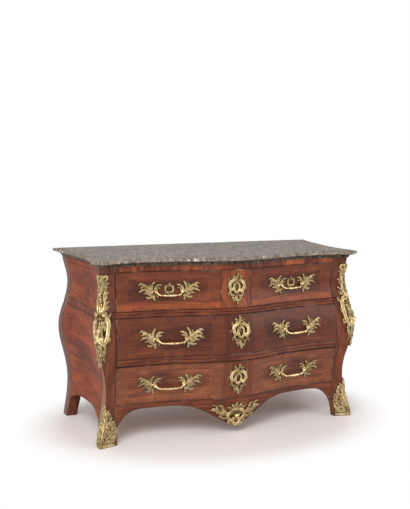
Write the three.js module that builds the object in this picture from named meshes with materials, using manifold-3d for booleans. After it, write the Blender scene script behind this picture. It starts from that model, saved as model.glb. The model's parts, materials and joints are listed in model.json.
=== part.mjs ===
import * as THREE from "three";
import { mergeVertices } from "three/addons/utils/BufferGeometryUtils.js";
import Module from "manifold-3d";

// A serpentine bombe chest of drawers with a marble top and gilt mounts.
// Sizes are in millimetres, X runs to the right, Y to the back and Z up.
// Z zero is the floor. Before the last step Y zero is the front corner line of the case top.

const wasm = await Module();
wasm.setup();

// Heights of the case, from the floor up
const APRON_TOP = 177;
const LOW_DRAWER_HEIGHT = 185;
const LOW_RAIL_HEIGHT = 34;
const MIDDLE_DRAWER_HEIGHT = 190;
const HIGH_RAIL_HEIGHT = 27;
const TOP_DRAWER_HEIGHT = 184;
const TOP_RAIL_HEIGHT = 27;
const MARBLE_THICKNESS = 36;

const LOW_DRAWER_TOP = APRON_TOP + LOW_DRAWER_HEIGHT;
const MIDDLE_DRAWER_FOOT = LOW_DRAWER_TOP + LOW_RAIL_HEIGHT;
const MIDDLE_DRAWER_TOP = MIDDLE_DRAWER_FOOT + MIDDLE_DRAWER_HEIGHT;
const TOP_DRAWER_FOOT = MIDDLE_DRAWER_TOP + HIGH_RAIL_HEIGHT;
const TOP_DRAWER_TOP = TOP_DRAWER_FOOT + TOP_DRAWER_HEIGHT;
const CASE_HEIGHT = TOP_DRAWER_TOP + TOP_RAIL_HEIGHT;

// The case in plan
const CASE_HALF_WIDTH = 668;
const CASE_DEPTH = 540;
const PLAN_SWELL = 61;
const SIDE_FLARE = 18;
const CORNER_CANT = 6;
const FRONT_SWING = 48;
const FOOT_KICK = 47;
const SIDE_SWING = 30;
const STILE_WIDTH = 77;
const OPENING_HALF_WIDTH = CASE_HALF_WIDTH - STILE_WIDTH;
const TOP_OPENING_INSET = 11;
const CENTRE_POST_HALF_WIDTH = 78;

// Clearances
const SEAT_GAP = 0.3;
const MOUNT_SEAT_GAP = 0.4;
const CAST_SMOOTHING = 1;
const SEAT_SMOOTHING = 0.1;
const DRAWER_GAP = 1;
const CUT_OVERRUN = 90;

// Boards and posts
const STILE_DEPTH = 62;
const REAR_STILE_DEPTH = 57;
const REAR_STILE_WIDTH = 68;
const REAR_STILE_INNER_X = CASE_HALF_WIDTH - REAR_STILE_WIDTH;
const REAR_LEG_WIDTH = 55;
const SIDE_THICKNESS = 22;
const RAIL_THICKNESS = 40;
const FRONT_THICKNESS = 24;
const FRONT_PROUD = 3;
const APRON_THICKNESS = 30;
const POST_THICKNESS = 34;
const BEAD_RISE = 5;
const SIDE_GROOVE_DEPTH = 3;
const SIDE_GROOVE_HEIGHT = 9;
const TENON_LENGTH = 16;
const TENON_THICKNESS = 14;
const TENON_SHOULDER = 5;
const BACK_PANEL_THICKNESS = 10;
const BACK_PANEL_INSET = 3;
const BACK_PANEL_TONGUE = 6;
const BACK_PANEL_FOOT = 160;
const REAR_RAIL_DEPTH = 36;
const PARTITION_THICKNESS = 18;
const DUST_BOARD_THICKNESS = 12;
const GUIDE_WIDTH = 11;
const GUIDE_HEIGHT = 14;
const GUIDE_END_GAP = 40;

// Drawer boxes
const DRAWER_SIDE_THICKNESS = 12;
const DRAWER_BACK_THICKNESS = 10;
const DRAWER_BOTTOM_THICKNESS = 7;
const DRAWER_BOTTOM_LIFT = 6;
const DRAWER_BOTTOM_GROOVE = 5;
const DRAWER_TOP_CLEARANCE = 9;
const DRAWER_BACK_CLEARANCE = 24;
const DRAWER_SIDE_GAP = 1.5;

// Legs and lower edges
const APRON_EDGE_HEIGHT = 152;
const SIDE_EDGE_HEIGHT = 141;
const EDGE_FADE_HEIGHT = 150;
const LEG_BACK_STEP = 66;

// Marble top
const MARBLE_FRONT_OVERHANG = 30;
const MARBLE_SIDE_OVERHANG = 30;
const MARBLE_BACK_OVERHANG = 8;
const MARBLE_BACK_TIP = 15;
const MARBLE_FOOT_MARGIN = 2;
const MARBLE_EAR_FORWARD = 56;
const MARBLE_EAR_INSET = 4;
const MARBLE_SIDE_EAR_OUT = 44;
const MARBLE_SIDE_EAR_FORWARD = 14;
const MARBLE_CANT_HOLLOW = 5;

// Cast mounts
const LEAF_SINK = 2.5;
const LEAF_EDGE = 1.6;
const LEAF_TIP_HALF_WIDTH = 0.7;
const RIGHT_HANDLE_SHIFT = 9;
const TOP_LEFT_HANDLE_SHIFT = 8;
const POST_SPREAD = 72;
const TOP_POST_SPREAD = 66;
const PLATE_REACH = 76;
const PLATE_RELIEF = 9;
const HANDLE_DROP = 10;
const KNOB_POST_RADIUS = 6.5;
const KNOB_POST_HEIGHT = 17;
const POST_FOOT_HEIGHT = 3;
const BAIL_AXIS_HEIGHT = 11.5;
const BAIL_BORE_RADIUS = 3.3;
const BAIL_BORE_DEPTH = 8;
const BAIL_PIN_ENTRY = 6;
const BAIL_RADIUS = 3.6;
const BAIL_DROP = 14;
const BAIL_FORWARD = 9;
const ESCUTCHEON_HALF_HEIGHT = 78;
const ESCUTCHEON_RELIEF = 9;
const MIDDLE_ESCUTCHEON_LIFT = 8;
const SMALL_ESCUTCHEON_HALF_HEIGHT = 37;
const SMALL_ESCUTCHEON_RELIEF = 6;
const KEYHOLE_RADIUS = 3.2;
const KEYHOLE_HALF_WIDTH = 1.6;
const KEYHOLE_LENGTH = 12;
const KEYHOLE_DEPTH = 14;
const KEYHOLE_OVERRUN = 20;
const CHUTE_TOP = 786;
const CHUTE_HEIGHT = 416;
const CHUTE_RELIEF = 17;
const SABOT_HEIGHT = 196;
const SABOT_FLOOR_GAP = 1;
const SABOT_RELIEF = 11;
const SABOT_BAND_HEIGHT = 26;
const SABOT_BAND_RISE = 4;
const SABOT_BAND_REACH = 58;
const APRON_MOUNT_HALF_WIDTH = 136;
const APRON_MOUNT_Z = 94;
const APRON_MOUNT_RELIEF = 11;
const NORMAL_STEP = 1;
const CORNER_BLEND = 7;

// Heights as shares of the case height, with the forward swing of the front as a share
const FRONT_PROFILE_SHARES = [
  [0, 0.12], [0.06, 0.2], [0.12, 0.3], [0.18, 0.41], [0.22, 0.44], [0.3, 0.47],
  [0.36, 0.56], [0.44, 0.8], [0.48, 0.91], [0.54, 1], [0.6, 0.98], [0.655, 0.77],
  [0.71, 0.42], [0.745, 0.16], [0.8, -0.12], [0.85, -0.25], [0.91, -0.22], [0.97, -0.04], [1, 0],
];

// Heights as shares of the case height, with the forward kick of the front feet as a share
const FOOT_KICK_SHARES = [[0, 1], [0.06, 0.72], [0.12, 0.38], [0.18, 0.1], [0.215, 0], [1, 0]];

// Distance from the middle as a share of the half width, with what is left of the kick
const KICK_REACH_SHARES = [[0, 0], [0.7, 0], [0.78, 0.4], [0.86, 1], [1.2, 1]];

// Heights as shares of the case height, with the outward swing of the sides as a share
const SIDE_PROFILE_SHARES = [
  [0, 0.5], [0.06, 0.17], [0.12, -0.26], [0.18, -0.5], [0.243, -0.7], [0.303, -0.7],
  [0.364, -0.55], [0.44, -0.05], [0.48, 0.23], [0.54, 0.5], [0.596, 0.62], [0.655, 0.58],
  [0.71, 0.28], [0.744, 0], [0.8, -0.34], [0.85, -0.5], [0.91, -0.5], [0.96, -0.18], [1, 0],
];

// Distance from the middle as a share of the half width, with the forward swell as a share
const FRONT_PLAN_SHARES = [
  [0, 1], [0.08, 0.965], [0.19, 0.71], [0.3, 0.4], [0.41, 0.1], [0.5, -0.11],
  [0.58, -0.21], [0.67, -0.28], [0.76, -0.33], [0.85, -0.34], [0.92, -0.27], [1, 0],
];

// Distance back along the side as a share of the depth, with the flare as a share
const SIDE_PLAN_SHARES = [[0, 0], [0.07, -0.42], [0.2, -0.75], [0.45, -0.55], [0.72, 0.15], [1, 1]];

// Heights as shares of the case height, with how much of the flare the side has there
const FLARE_RISE_SHARES = [
  [0, 0.2], [0.06, 0.35], [0.12, 0.6], [0.24, 0.95], [0.36, 1.5], [0.54, 1.6], [0.62, 1.2],
  [0.7, 0.5], [0.85, 0.5], [0.92, 1.1], [1, 1.3],
];

// Lower edge of the apron: distance from the middle over the opening half width, with the
// drop below the edge height as a share of that height
const APRON_EDGE_SHARES = [
  [0, 0.745], [0.03, 0.74], [0.068, 0.69], [0.105, 0.575], [0.15, 0.5], [0.19, 0.42],
  [0.24, 0.28], [0.29, 0.17], [0.34, 0.09], [0.42, 0.03], [0.52, 0], [0.72, 0],
  [0.84, 0.02], [0.9, 0.09], [0.95, 0.26], [1, 0.5],
];

// Lower edge of a side: distance from the front stile over the panel depth, with the drop
const SIDE_EDGE_SHARES = [
  [0, 0.3], [0.05, 0.17], [0.11, 0.08], [0.2, 0.02], [0.4, 0], [0.7, 0.02], [0.86, 0.1],
  [0.94, 0.24], [1, 0.36],
];

// Height over the top of the leg, with how far the leg's back stands forward as a share
const LEG_BACK_SHARES = [[0, 1], [0.33, 0.84], [0.66, 0.68], [0.88, 0.42], [1, 0]];

// Half width and ridge height of a cast leaf along its length, as shares
const LEAF_WIDTH_SHARES = [[0, 0.7], [0.35, 1], [0.7, 0.8], [1, 0.12]];
const LEAF_CREST_SHARES = [[0, 0.8], [0.4, 1], [0.8, 0.75], [1, 0.3]];

// Handle post: height share with radius share
const POST_SHARES = [[0, 1.1], [0.88, 1], [1, 0.55]];

// Half a bail from its pin to its middle: along, forward, down and thickness shares
const BAIL_LINE_SHARES = [
  [-1, 0, 0, 0.72], [-0.9, 0, 0, 0.72], [-0.84, 0.2, 0.15, 1], [-0.72, 0.7, 0.62, 1],
  [-0.5, 1, 0.93, 1], [-0.14, 1, 0.98, 0.9], [-0.09, 1, 0.98, 1.7], [0, 1, 1, 1.9],
];

// Stations of a sabot's band from the front face round to the side, as shares of its reach
const SABOT_BAND_SHARES = [1, 0.5, 0.1, -0.1, -0.4, -0.62];

// Two beads on a rail: height share of the rail with the rise share
const BEAD_SHARES = [
  [0, 0], [0.1, 0.6], [0.26, 1], [0.42, 0.6], [0.5, 0], [0.58, 0.6], [0.74, 1], [0.9, 0.6], [1, 0],
];

// Edge of the marble: height share with the share of the way out from case to lip
const MARBLE_EDGE_SHARES = [
  [0, 0], [0.16, 0.05], [0.36, 0.34], [0.5, 0.72], [0.56, 1], [0.88, 1], [0.97, 0.95], [1, 0.87],
];

const LIP_FLARE_START_SHARE = 0.78;
const SIDE_LIP_FADE_SHARE = 0.24;

// How many stations each kind of curve is built from
const STATION_COUNTS = {
  front: 16,
  halfFront: 9,
  frontRise: 6,
  apron: 28,
  apronRise: 2,
  leg: 4,
  stile: 18,
  side: 6,
  sideRise: 15,
  marbleFront: 20,
  marbleSide: 8,
  leaf: 4,
  smallLeaf: 3,
  ring: 6,
  post: 6,
};

// Leaves of a handle plate beside its post, in shares of the plate reach
const PLATE_LEAF_SHARES = [
  { line: [[0, 0], [-0.34, 0.12], [-0.68, 0.26], [-0.9, 0.24], [-1, 0.1]], width: 0.16, rise: 0.85 },
  { line: [[-0.02, 0.02], [0.02, 0.28], [0.08, 0.52], [0.22, 0.76]], width: 0.14, rise: 1 },
  { line: [[-0.04, 0.04], [-0.24, 0.32], [-0.4, 0.56], [-0.54, 0.6]], width: 0.14, rise: 0.9 },
  { line: [[0.04, 0.02], [0.3, 0.16], [0.48, 0.38], [0.6, 0.35]], width: 0.13, rise: 0.9 },
  { line: [[0.02, 0.04], [-0.1, -0.14], [-0.34, -0.28], [-0.6, -0.22]], width: 0.12, rise: 0.8 },
  { line: [[0, 0.04], [0.08, -0.2], [0.02, -0.38], [-0.14, -0.46]], width: 0.12, rise: 0.8 },
];

// Leaves of a centre escutcheon, in shares of its half height
const ESCUTCHEON_LEAF_SHARES = [
  { line: [[0, 0.2], [-0.02, 0.5], [0.04, 0.78], [-0.02, 1]], width: 0.16, rise: 1 },
  { line: [[0.04, -0.3], [-0.03, -0.56], [0.05, -0.8], [0.01, -0.96]], width: 0.15, rise: 0.9 },
  { line: [[-0.1, 0.62], [-0.42, 0.42], [-0.5, 0.1], [-0.34, -0.16], [-0.12, -0.2]], width: 0.13, rise: 1 },
  { line: [[0.12, 0.6], [0.46, 0.36], [0.52, 0.04], [0.34, -0.24], [0.1, -0.24]], width: 0.13, rise: 1 },
  { line: [[-0.36, 0.3], [-0.52, 0.36], [-0.64, 0.26]], width: 0.09, rise: 0.8 },
  { line: [[0.38, -0.02], [0.54, -0.08], [0.66, 0.04]], width: 0.09, rise: 0.8 },
  { line: [[-0.2, -0.2], [-0.34, -0.42], [-0.2, -0.62], [0, -0.66]], width: 0.1, rise: 0.8 },
  { line: [[0.18, -0.22], [0.36, -0.42], [0.24, -0.6], [0.04, -0.64]], width: 0.1, rise: 0.8 },
  { line: [[0, 0.3], [0, 0.1], [0, -0.12], [0, -0.4]], width: 0.26, rise: 0.5 },
];

// Leaves of a small escutcheon, in shares of its half height
const SMALL_ESCUTCHEON_LEAF_SHARES = [
  { line: [[0, 0.1], [0.02, 0.5], [0, 1]], width: 0.24, rise: 1 },
  { line: [[-0.08, 0.5], [-0.42, 0.26], [-0.38, -0.26], [-0.06, -0.5]], width: 0.18, rise: 1 },
  { line: [[0.08, 0.5], [0.42, 0.26], [0.38, -0.26], [0.06, -0.5]], width: 0.18, rise: 1 },
  { line: [[0, -0.2], [-0.02, -0.6], [0, -1]], width: 0.22, rise: 0.9 },
  { line: [[0, 0.4], [0, 0], [0, -0.4]], width: 0.34, rise: 0.5 },
];

// Leaves of a corner chute: across the corner and down from its top, in shares of its height
const CHUTE_LEAF_SHARES = [
  { line: [[0.005, -0.02], [0.005, -0.14], [0.005, -0.28], [0, -0.45]], width: 0.034, rise: 0.5 },
  {
    line: [[0, -0.05], [-0.045, -0.03], [-0.07, -0.01], [-0.06, 0.015], [-0.03, 0]],
    width: 0.024, rise: 0.9,
  },
  {
    line: [[0, -0.05], [0.045, -0.03], [0.08, -0.015], [0.07, 0.015], [0.035, 0]],
    width: 0.024, rise: 0.9,
  },
  { line: [[-0.03, -0.03], [-0.045, -0.12], [-0.035, -0.24], [-0.02, -0.34]], width: 0.016, rise: 0.8 },
  { line: [[0.035, -0.03], [0.055, -0.12], [0.04, -0.24], [0.02, -0.36]], width: 0.016, rise: 0.8 },
  { line: [[-0.03, -0.24], [0.02, -0.3], [-0.03, -0.36], [0.02, -0.42]], width: 0.03, rise: 0.9 },
  {
    line: [[0.02, -0.36], [-0.06, -0.42], [-0.1, -0.5], [-0.08, -0.58], [-0.02, -0.62]],
    width: 0.028, rise: 1,
  },
  {
    line: [[-0.01, -0.38], [0.07, -0.42], [0.11, -0.5], [0.1, -0.6], [0.02, -0.64]],
    width: 0.032, rise: 1,
  },
  { line: [[0, -0.58], [-0.04, -0.7], [-0.02, -0.82], [-0.035, -0.9]], width: 0.03, rise: 0.9 },
  { line: [[0.02, -0.58], [0.06, -0.7], [0.03, -0.84], [0.045, -0.92]], width: 0.028, rise: 0.9 },
  { line: [[0, -0.6], [0.01, -0.76], [0, -0.9], [0.005, -1]], width: 0.032, rise: 0.9 },
];

// Leaves of a sabot: across the corner and up from the floor, in shares of its height
const SABOT_LEAF_SHARES = [
  { line: [[0, 0.06], [0, 0.3], [0.02, 0.55], [-0.01, 0.8], [0.01, 1]], width: 0.1, rise: 1 },
  { line: [[-0.02, 0.1], [-0.12, 0.28], [-0.1, 0.46], [-0.02, 0.56]], width: 0.075, rise: 0.9 },
  { line: [[0.02, 0.1], [0.15, 0.28], [0.13, 0.46], [0.03, 0.58]], width: 0.075, rise: 0.9 },
  { line: [[0.02, 0.46], [0.12, 0.58], [0.1, 0.72], [0.03, 0.8]], width: 0.06, rise: 0.9 },
  { line: [[-0.02, 0.46], [-0.1, 0.58], [-0.08, 0.7], [-0.02, 0.78]], width: 0.06, rise: 0.9 },
  { line: [[0.04, 0.08], [0.2, 0.12], [0.27, 0.26], [0.24, 0.38]], width: 0.06, rise: 0.8 },
  { line: [[-0.04, 0.08], [-0.14, 0.12], [-0.19, 0.24], [-0.16, 0.34]], width: 0.055, rise: 0.8 },
];

// Leaves of the apron mount, in shares of its half width
const APRON_LEAF_SHARES = [
  { line: [[0, -0.3], [0, -0.12], [0, 0.12], [0, 0.42]], width: 0.17, rise: 1 },
  { line: [[-0.06, 0.24], [-0.28, 0.16], [-0.3, -0.1], [-0.1, -0.24]], width: 0.1, rise: 1 },
  { line: [[0.06, 0.24], [0.28, 0.16], [0.3, -0.1], [0.1, -0.24]], width: 0.1, rise: 1 },
  { line: [[-0.04, -0.16], [-0.2, -0.26], [-0.12, -0.38], [0.01, -0.4]], width: 0.08, rise: 0.8 },
  { line: [[0.04, -0.16], [0.2, -0.26], [0.12, -0.38], [-0.01, -0.4]], width: 0.08, rise: 0.8 },
  { line: [[-0.2, 0.02], [-0.44, 0.02], [-0.68, 0.16], [-0.9, 0.24], [-1, 0.14]], width: 0.1, rise: 0.9 },
  { line: [[0.2, 0.02], [0.44, 0.02], [0.68, 0.16], [0.9, 0.24], [1, 0.14]], width: 0.1, rise: 0.9 },
  { line: [[-0.4, 0.04], [-0.56, 0.2], [-0.66, 0.36]], width: 0.07, rise: 0.8 },
  { line: [[0.4, 0.04], [0.56, 0.2], [0.66, 0.36]], width: 0.07, rise: 0.8 },
];

const KINGWOOD = new THREE.MeshStandardMaterial({ color: 0x7a3f2c, roughness: 0.35, metalness: 0 });
const RAILWOOD = new THREE.MeshStandardMaterial({ color: 0x96502f, roughness: 0.4, metalness: 0 });
const OAK = new THREE.MeshStandardMaterial({ color: 0xa07d52, roughness: 0.75, metalness: 0 });
const GILT = new THREE.MeshStandardMaterial({ color: 0xb8935a, roughness: 0.38, metalness: 0.9 });
const MARBLE = new THREE.MeshStandardMaterial({ color: 0x8a847c, roughness: 0.3, metalness: 0 });

// Smooth curve through a table of pairs
function curveThrough(points) {
  const last = points.length - 1;
  const slope = (j) => {
    const before = points[Math.max(j - 1, 0)];
    const after = points[Math.min(j + 1, last)];
    return (after[1] - before[1]) / (after[0] - before[0]);
  };
  return (t) => {
    if (t <= points[0][0]) return points[0][1];
    if (t >= points[last][0]) return points[last][1];
    let i = 0;
    while (t > points[i + 1][0]) i += 1;
    const width = points[i + 1][0] - points[i][0];
    const s = (t - points[i][0]) / width;
    const rest = 1 - s;
    const ends = points[i][1] * (1 + 2 * s) * rest * rest + points[i + 1][1] * s * s * (1 + 2 * rest);
    return ends + (slope(i) * rest - slope(i + 1) * s) * width * s * rest;
  };
}

// Evenly spaced numbers from one end to the other
function spread(from, to, count) {
  return Array.from({ length: count + 1 }, (_, i) => from + ((to - from) * i) / count);
}

// A solid from a list of corners and a list of triangles, turned to face out
function solidFrom(corners, faces) {
  const geometry = new THREE.BufferGeometry();
  const numbers = corners.flatMap((p) => p.toArray());
  geometry.setAttribute("position", new THREE.Float32BufferAttribute(numbers, 3));
  geometry.setIndex(faces);
  return solidOf(geometry);
}

function solidOf(geometry) {
  const plain = geometry.clone();
  plain.deleteAttribute("normal");
  plain.deleteAttribute("uv");
  const merged = mergeVertices(plain);
  const triVerts = new Uint32Array(merged.index.array);
  const vertProperties = new Float32Array(merged.attributes.position.array);
  const made = new wasm.Manifold(new wasm.Mesh({ numProp: 3, vertProperties, triVerts }));
  if (made.volume() > 0) return made;
  for (let i = 0; i < triVerts.length; i += 3) {
    [triVerts[i + 1], triVerts[i + 2]] = [triVerts[i + 2], triVerts[i + 1]];
  }
  return new wasm.Manifold(new wasm.Mesh({ numProp: 3, vertProperties, triVerts }));
}

// The largest body of a cut solid, without the crumbs a cut can leave
function mainBody(solid) {
  return solid.decompose().reduce((best, body) => (body.volume() > best.volume() ? body : best));
}

// A cast mount bedded on the face that carries it
function bedded(cast, seat) {
  return mainBody(cast.subtract(seat)).asOriginal().simplify(SEAT_SMOOTHING);
}

// A closed body through rings of corners, with a flat cap at each end
function throughRings(rings, caps) {
  const size = rings[0].length;
  const faces = [];
  for (let r = 0; r + 1 < rings.length; r += 1) {
    for (let i = 0; i < size; i += 1) {
      const next = (i + 1) % size;
      const a = r * size + i;
      const b = r * size + next;
      faces.push(a, b, b + size, a, b + size, a + size);
    }
  }
  const last = (rings.length - 1) * size;
  for (const [a, b, c] of caps) {
    faces.push(a, c, b, last + a, last + b, last + c);
  }
  return solidFrom(rings.flat(), faces);
}

function fanCaps(size) {
  return Array.from({ length: size - 2 }, (_, i) => [0, i + 1, i + 2]);
}

// Cap triangles of a ring that is not convex, from its outline seen from above
function planCaps(ring) {
  return THREE.ShapeUtils.triangulateShape(ring.map((p) => new THREE.Vector2(p.x, p.y)), []);
}

// A closed body between a front sheet and a back sheet that share one grid
function betweenSheets(acrossList, upList, frontAt, backAt) {
  const columns = acrossList.length;
  const rows = upList.length;
  const corners = [];
  for (const sheet of [frontAt, backAt]) {
    for (const v of upList) {
      for (const u of acrossList) corners.push(sheet(u, v));
    }
  }
  const at = (sheet, i, j) => sheet * columns * rows + j * columns + i;
  const faces = [];
  const quad = (a, b, c, d) => faces.push(a, b, c, a, c, d);
  for (let j = 0; j + 1 < rows; j += 1) {
    for (let i = 0; i + 1 < columns; i += 1) {
      quad(at(0, i, j), at(0, i + 1, j), at(0, i + 1, j + 1), at(0, i, j + 1));
      quad(at(1, i, j), at(1, i, j + 1), at(1, i + 1, j + 1), at(1, i + 1, j));
    }
  }
  for (let i = 0; i + 1 < columns; i += 1) {
    quad(at(0, i, 0), at(1, i, 0), at(1, i + 1, 0), at(0, i + 1, 0));
    quad(at(0, i + 1, rows - 1), at(1, i + 1, rows - 1), at(1, i, rows - 1), at(0, i, rows - 1));
  }
  const end = columns - 1;
  for (let j = 0; j + 1 < rows; j += 1) {
    quad(at(0, 0, j + 1), at(1, 0, j + 1), at(1, 0, j), at(0, 0, j));
    quad(at(0, end, j), at(1, end, j), at(1, end, j + 1), at(0, end, j + 1));
  }
  return solidFrom(corners, faces);
}

function boxBetween(x0, x1, y0, y1, z0, z1) {
  const geometry = new THREE.BoxGeometry(x1 - x0, y1 - y0, z1 - z0);
  geometry.translate((x0 + x1) / 2, (y0 + y1) / 2, (z0 + z1) / 2);
  return solidOf(geometry);
}

function board(outline, z0, z1) {
  const shape = new THREE.Shape(outline.map(([x, y]) => new THREE.Vector2(x, y)));
  const geometry = new THREE.ExtrudeGeometry(shape, { depth: z1 - z0, bevelEnabled: false });
  geometry.translate(0, 0, z0);
  return solidOf(geometry);
}

// The swelling case surface
const frontProfile = curveThrough(FRONT_PROFILE_SHARES);
const footKick = curveThrough(FOOT_KICK_SHARES);
const kickReach = curveThrough(KICK_REACH_SHARES);
const sideProfile = curveThrough(SIDE_PROFILE_SHARES);
const frontPlan = curveThrough(FRONT_PLAN_SHARES);
const sidePlan = curveThrough(SIDE_PLAN_SHARES);
const flareRise = curveThrough(FLARE_RISE_SHARES);
const apronEdge = curveThrough(APRON_EDGE_SHARES);
const sideEdge = curveThrough(SIDE_EDGE_SHARES);
const legBack = curveThrough(LEG_BACK_SHARES);

const cornerX = (z) => CASE_HALF_WIDTH + SIDE_SWING * sideProfile(z / CASE_HEIGHT);
const kickAt = (z) => FOOT_KICK * footKick(z / CASE_HEIGHT);
const cornerY = (z) => -FRONT_SWING * frontProfile(z / CASE_HEIGHT) - kickAt(z);
function frontY(x, z) {
  const share = Math.abs(x) / cornerX(z);
  return cornerY(z) + kickAt(z) * (1 - kickReach(share)) - PLAN_SWELL * frontPlan(share);
}
function sideX(y, z) {
  const share = (y - cornerY(z)) / (CASE_DEPTH - cornerY(z));
  return cornerX(z) + SIDE_FLARE * flareRise(z / CASE_HEIGHT) * sidePlan(share);
}

// Groove round the sides at the height of the high rail
function grooveDepth(z) {
  const away = Math.abs(z - MIDDLE_DRAWER_TOP) / SIDE_GROOVE_HEIGHT;
  return away < 1 ? SIDE_GROOVE_DEPTH * (1 - away) : 0;
}

// Height stations with extra ones at the groove and its edges
function heightStations(from, to, count) {
  const groove = [-SIDE_GROOVE_HEIGHT, 0, SIDE_GROOVE_HEIGHT].map((d) => MIDDLE_DRAWER_TOP + d);
  const plain = spread(from, to, count).filter(
    (z) => z === from || z === to || groove.every((g) => Math.abs(z - g) > SIDE_GROOVE_HEIGHT / 2),
  );
  return [...plain, ...groove].sort((a, b) => a - b);
}

// A curved front piece: rise is how far its face stands before the case surface
function frontSlab(span, heights, rise, thickness) {
  return betweenSheets(
    span,
    heights,
    (x, z) => new THREE.Vector3(x, frontY(x, z) - rise(x, z), z),
    (x, z) => new THREE.Vector3(x, frontY(x, z) + thickness, z),
  );
}

// All that lies before the back face of a front piece, grown by a gap
function frontMass(span, heights, thickness) {
  const grow = (list) => [list[0] - CUT_OVERRUN, ...list, list[list.length - 1] + CUT_OVERRUN];
  const within = (list, value) => Math.min(Math.max(value, list[0]), list[list.length - 1]);
  const backAt = (x, z) => frontY(within(span, x), within(heights, z)) + thickness + MOUNT_SEAT_GAP;
  return betweenSheets(
    grow(span),
    grow(heights),
    (x, z) => new THREE.Vector3(x, -CASE_DEPTH, z),
    (x, z) => new THREE.Vector3(x, backAt(x, z), z),
  );
}

const pieces = [];
function add(name, solid, material) {
  pieces.push({ name, solid, material });
  return solid;
}

const mirrored = (solid) => solid.mirror([1, 0, 0]);

// Joint blocks between rails and stiles
const REAR_FACE_Y = CASE_DEPTH - REAR_STILE_DEPTH;
const noRise = () => 0;

function tenon(side, bottom, top, grow) {
  const middle = frontY(OPENING_HALF_WIDTH, (bottom + top) / 2) + RAIL_THICKNESS / 2;
  const inner = OPENING_HALF_WIDTH - TENON_LENGTH / 2;
  const outer = OPENING_HALF_WIDTH + TENON_LENGTH + grow;
  const block = boxBetween(
    inner,
    outer,
    middle - TENON_THICKNESS / 2 - grow,
    middle + TENON_THICKNESS / 2 + grow,
    bottom + TENON_SHOULDER - grow,
    top - TENON_SHOULDER + grow,
  );
  return side > 0 ? block : mirrored(block);
}

const RAIL_BANDS = [
  [LOW_DRAWER_TOP, MIDDLE_DRAWER_FOOT],
  [MIDDLE_DRAWER_TOP, TOP_DRAWER_FOOT],
  [TOP_DRAWER_TOP, CASE_HEIGHT],
];
const APRON_TENON_BAND = [APRON_EDGE_HEIGHT - TENON_LENGTH, APRON_TOP];

// Front stiles with their legs, each with a cheek beside its top drawer
const TOP_OUTER_X = OPENING_HALF_WIDTH - TOP_OPENING_INSET;
const LEG_TOP = SIDE_EDGE_HEIGHT * (1 - sideEdge(0));
const CHEEK_BAND = [TOP_DRAWER_FOOT + SEAT_GAP, TOP_DRAWER_TOP - SEAT_GAP];
function frontStile(grow) {
  const steps = [TOP_DRAWER_FOOT, ...CHEEK_BAND, TOP_DRAWER_TOP];
  const plain = heightStations(LEG_TOP, CASE_HEIGHT - SEAT_GAP, STATION_COUNTS.stile).filter(
    (z) => steps.every((step) => Math.abs(z - step) > SIDE_GROOVE_HEIGHT / 2),
  );
  const leg = spread(0, LEG_TOP, STATION_COUNTS.leg).slice(0, -1);
  const rings = [...leg, ...plain, ...steps].sort((a, b) => a - b).map((z) => {
    const inner = z >= CHEEK_BAND[0] && z <= CHEEK_BAND[1] ? TOP_OUTER_X : OPENING_HALF_WIDTH;
    const back = STILE_DEPTH - LEG_BACK_STEP * legBack(z / LEG_TOP);
    const groove = grooveDepth(z);
    const level = z + (z === 0 ? -grow : 0);
    const ring = spread(inner, cornerX(z) - CORNER_CANT, 3).map(
      (x) => new THREE.Vector3(x, frontY(x, z) - grow, level),
    );
    for (const y of spread(cornerY(z) + CORNER_CANT, back, 2)) {
      const ahead = y > cornerY(z) + CORNER_CANT ? 0 : grow;
      ring.push(new THREE.Vector3(sideX(y, z) - groove + grow, y - ahead, level));
    }
    ring.push(new THREE.Vector3(inner, back, level));
    return ring;
  });
  return throughRings(rings, planCaps(rings[0]));
}

let stile = frontStile(0);
for (const [bottom, top] of [...RAIL_BANDS, APRON_TENON_BAND]) {
  stile = stile.subtract(tenon(1, bottom, top, SEAT_GAP));
}
add("front_stile_right", stile, KINGWOOD);
add("front_stile_left", mirrored(stile), KINGWOOD);
const stileSeat = frontStile(MOUNT_SEAT_GAP);

// Rear stiles with their legs
const BACK_PANEL_FRONT_Y = CASE_DEPTH - BACK_PANEL_INSET - BACK_PANEL_THICKNESS;
function rearStile() {
  const levels = heightStations(0, CASE_HEIGHT - SEAT_GAP, STATION_COUNTS.stile);
  const rings = levels.map((z) => {
    const legShare = Math.min(z / APRON_EDGE_HEIGHT, 1);
    const legX = sideX(CASE_DEPTH, z) - REAR_LEG_WIDTH;
    const inner = legX + (REAR_STILE_INNER_X - legX) * legShare * legShare;
    return [
      new THREE.Vector3(inner, REAR_FACE_Y, z),
      new THREE.Vector3(sideX(REAR_FACE_Y, z) - grooveDepth(z), REAR_FACE_Y, z),
      new THREE.Vector3(sideX(CASE_DEPTH, z) - grooveDepth(z), CASE_DEPTH, z),
      new THREE.Vector3(inner, CASE_DEPTH, z),
    ];
  });
  return throughRings(rings, planCaps(rings[0]));
}

function backPanel(grow) {
  const half = REAR_STILE_INNER_X + BACK_PANEL_TONGUE + grow;
  return boxBetween(
    -half,
    half,
    BACK_PANEL_FRONT_Y - grow,
    CASE_DEPTH - BACK_PANEL_INSET + grow,
    BACK_PANEL_FOOT - grow,
    CASE_HEIGHT - SEAT_GAP + grow,
  );
}

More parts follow.
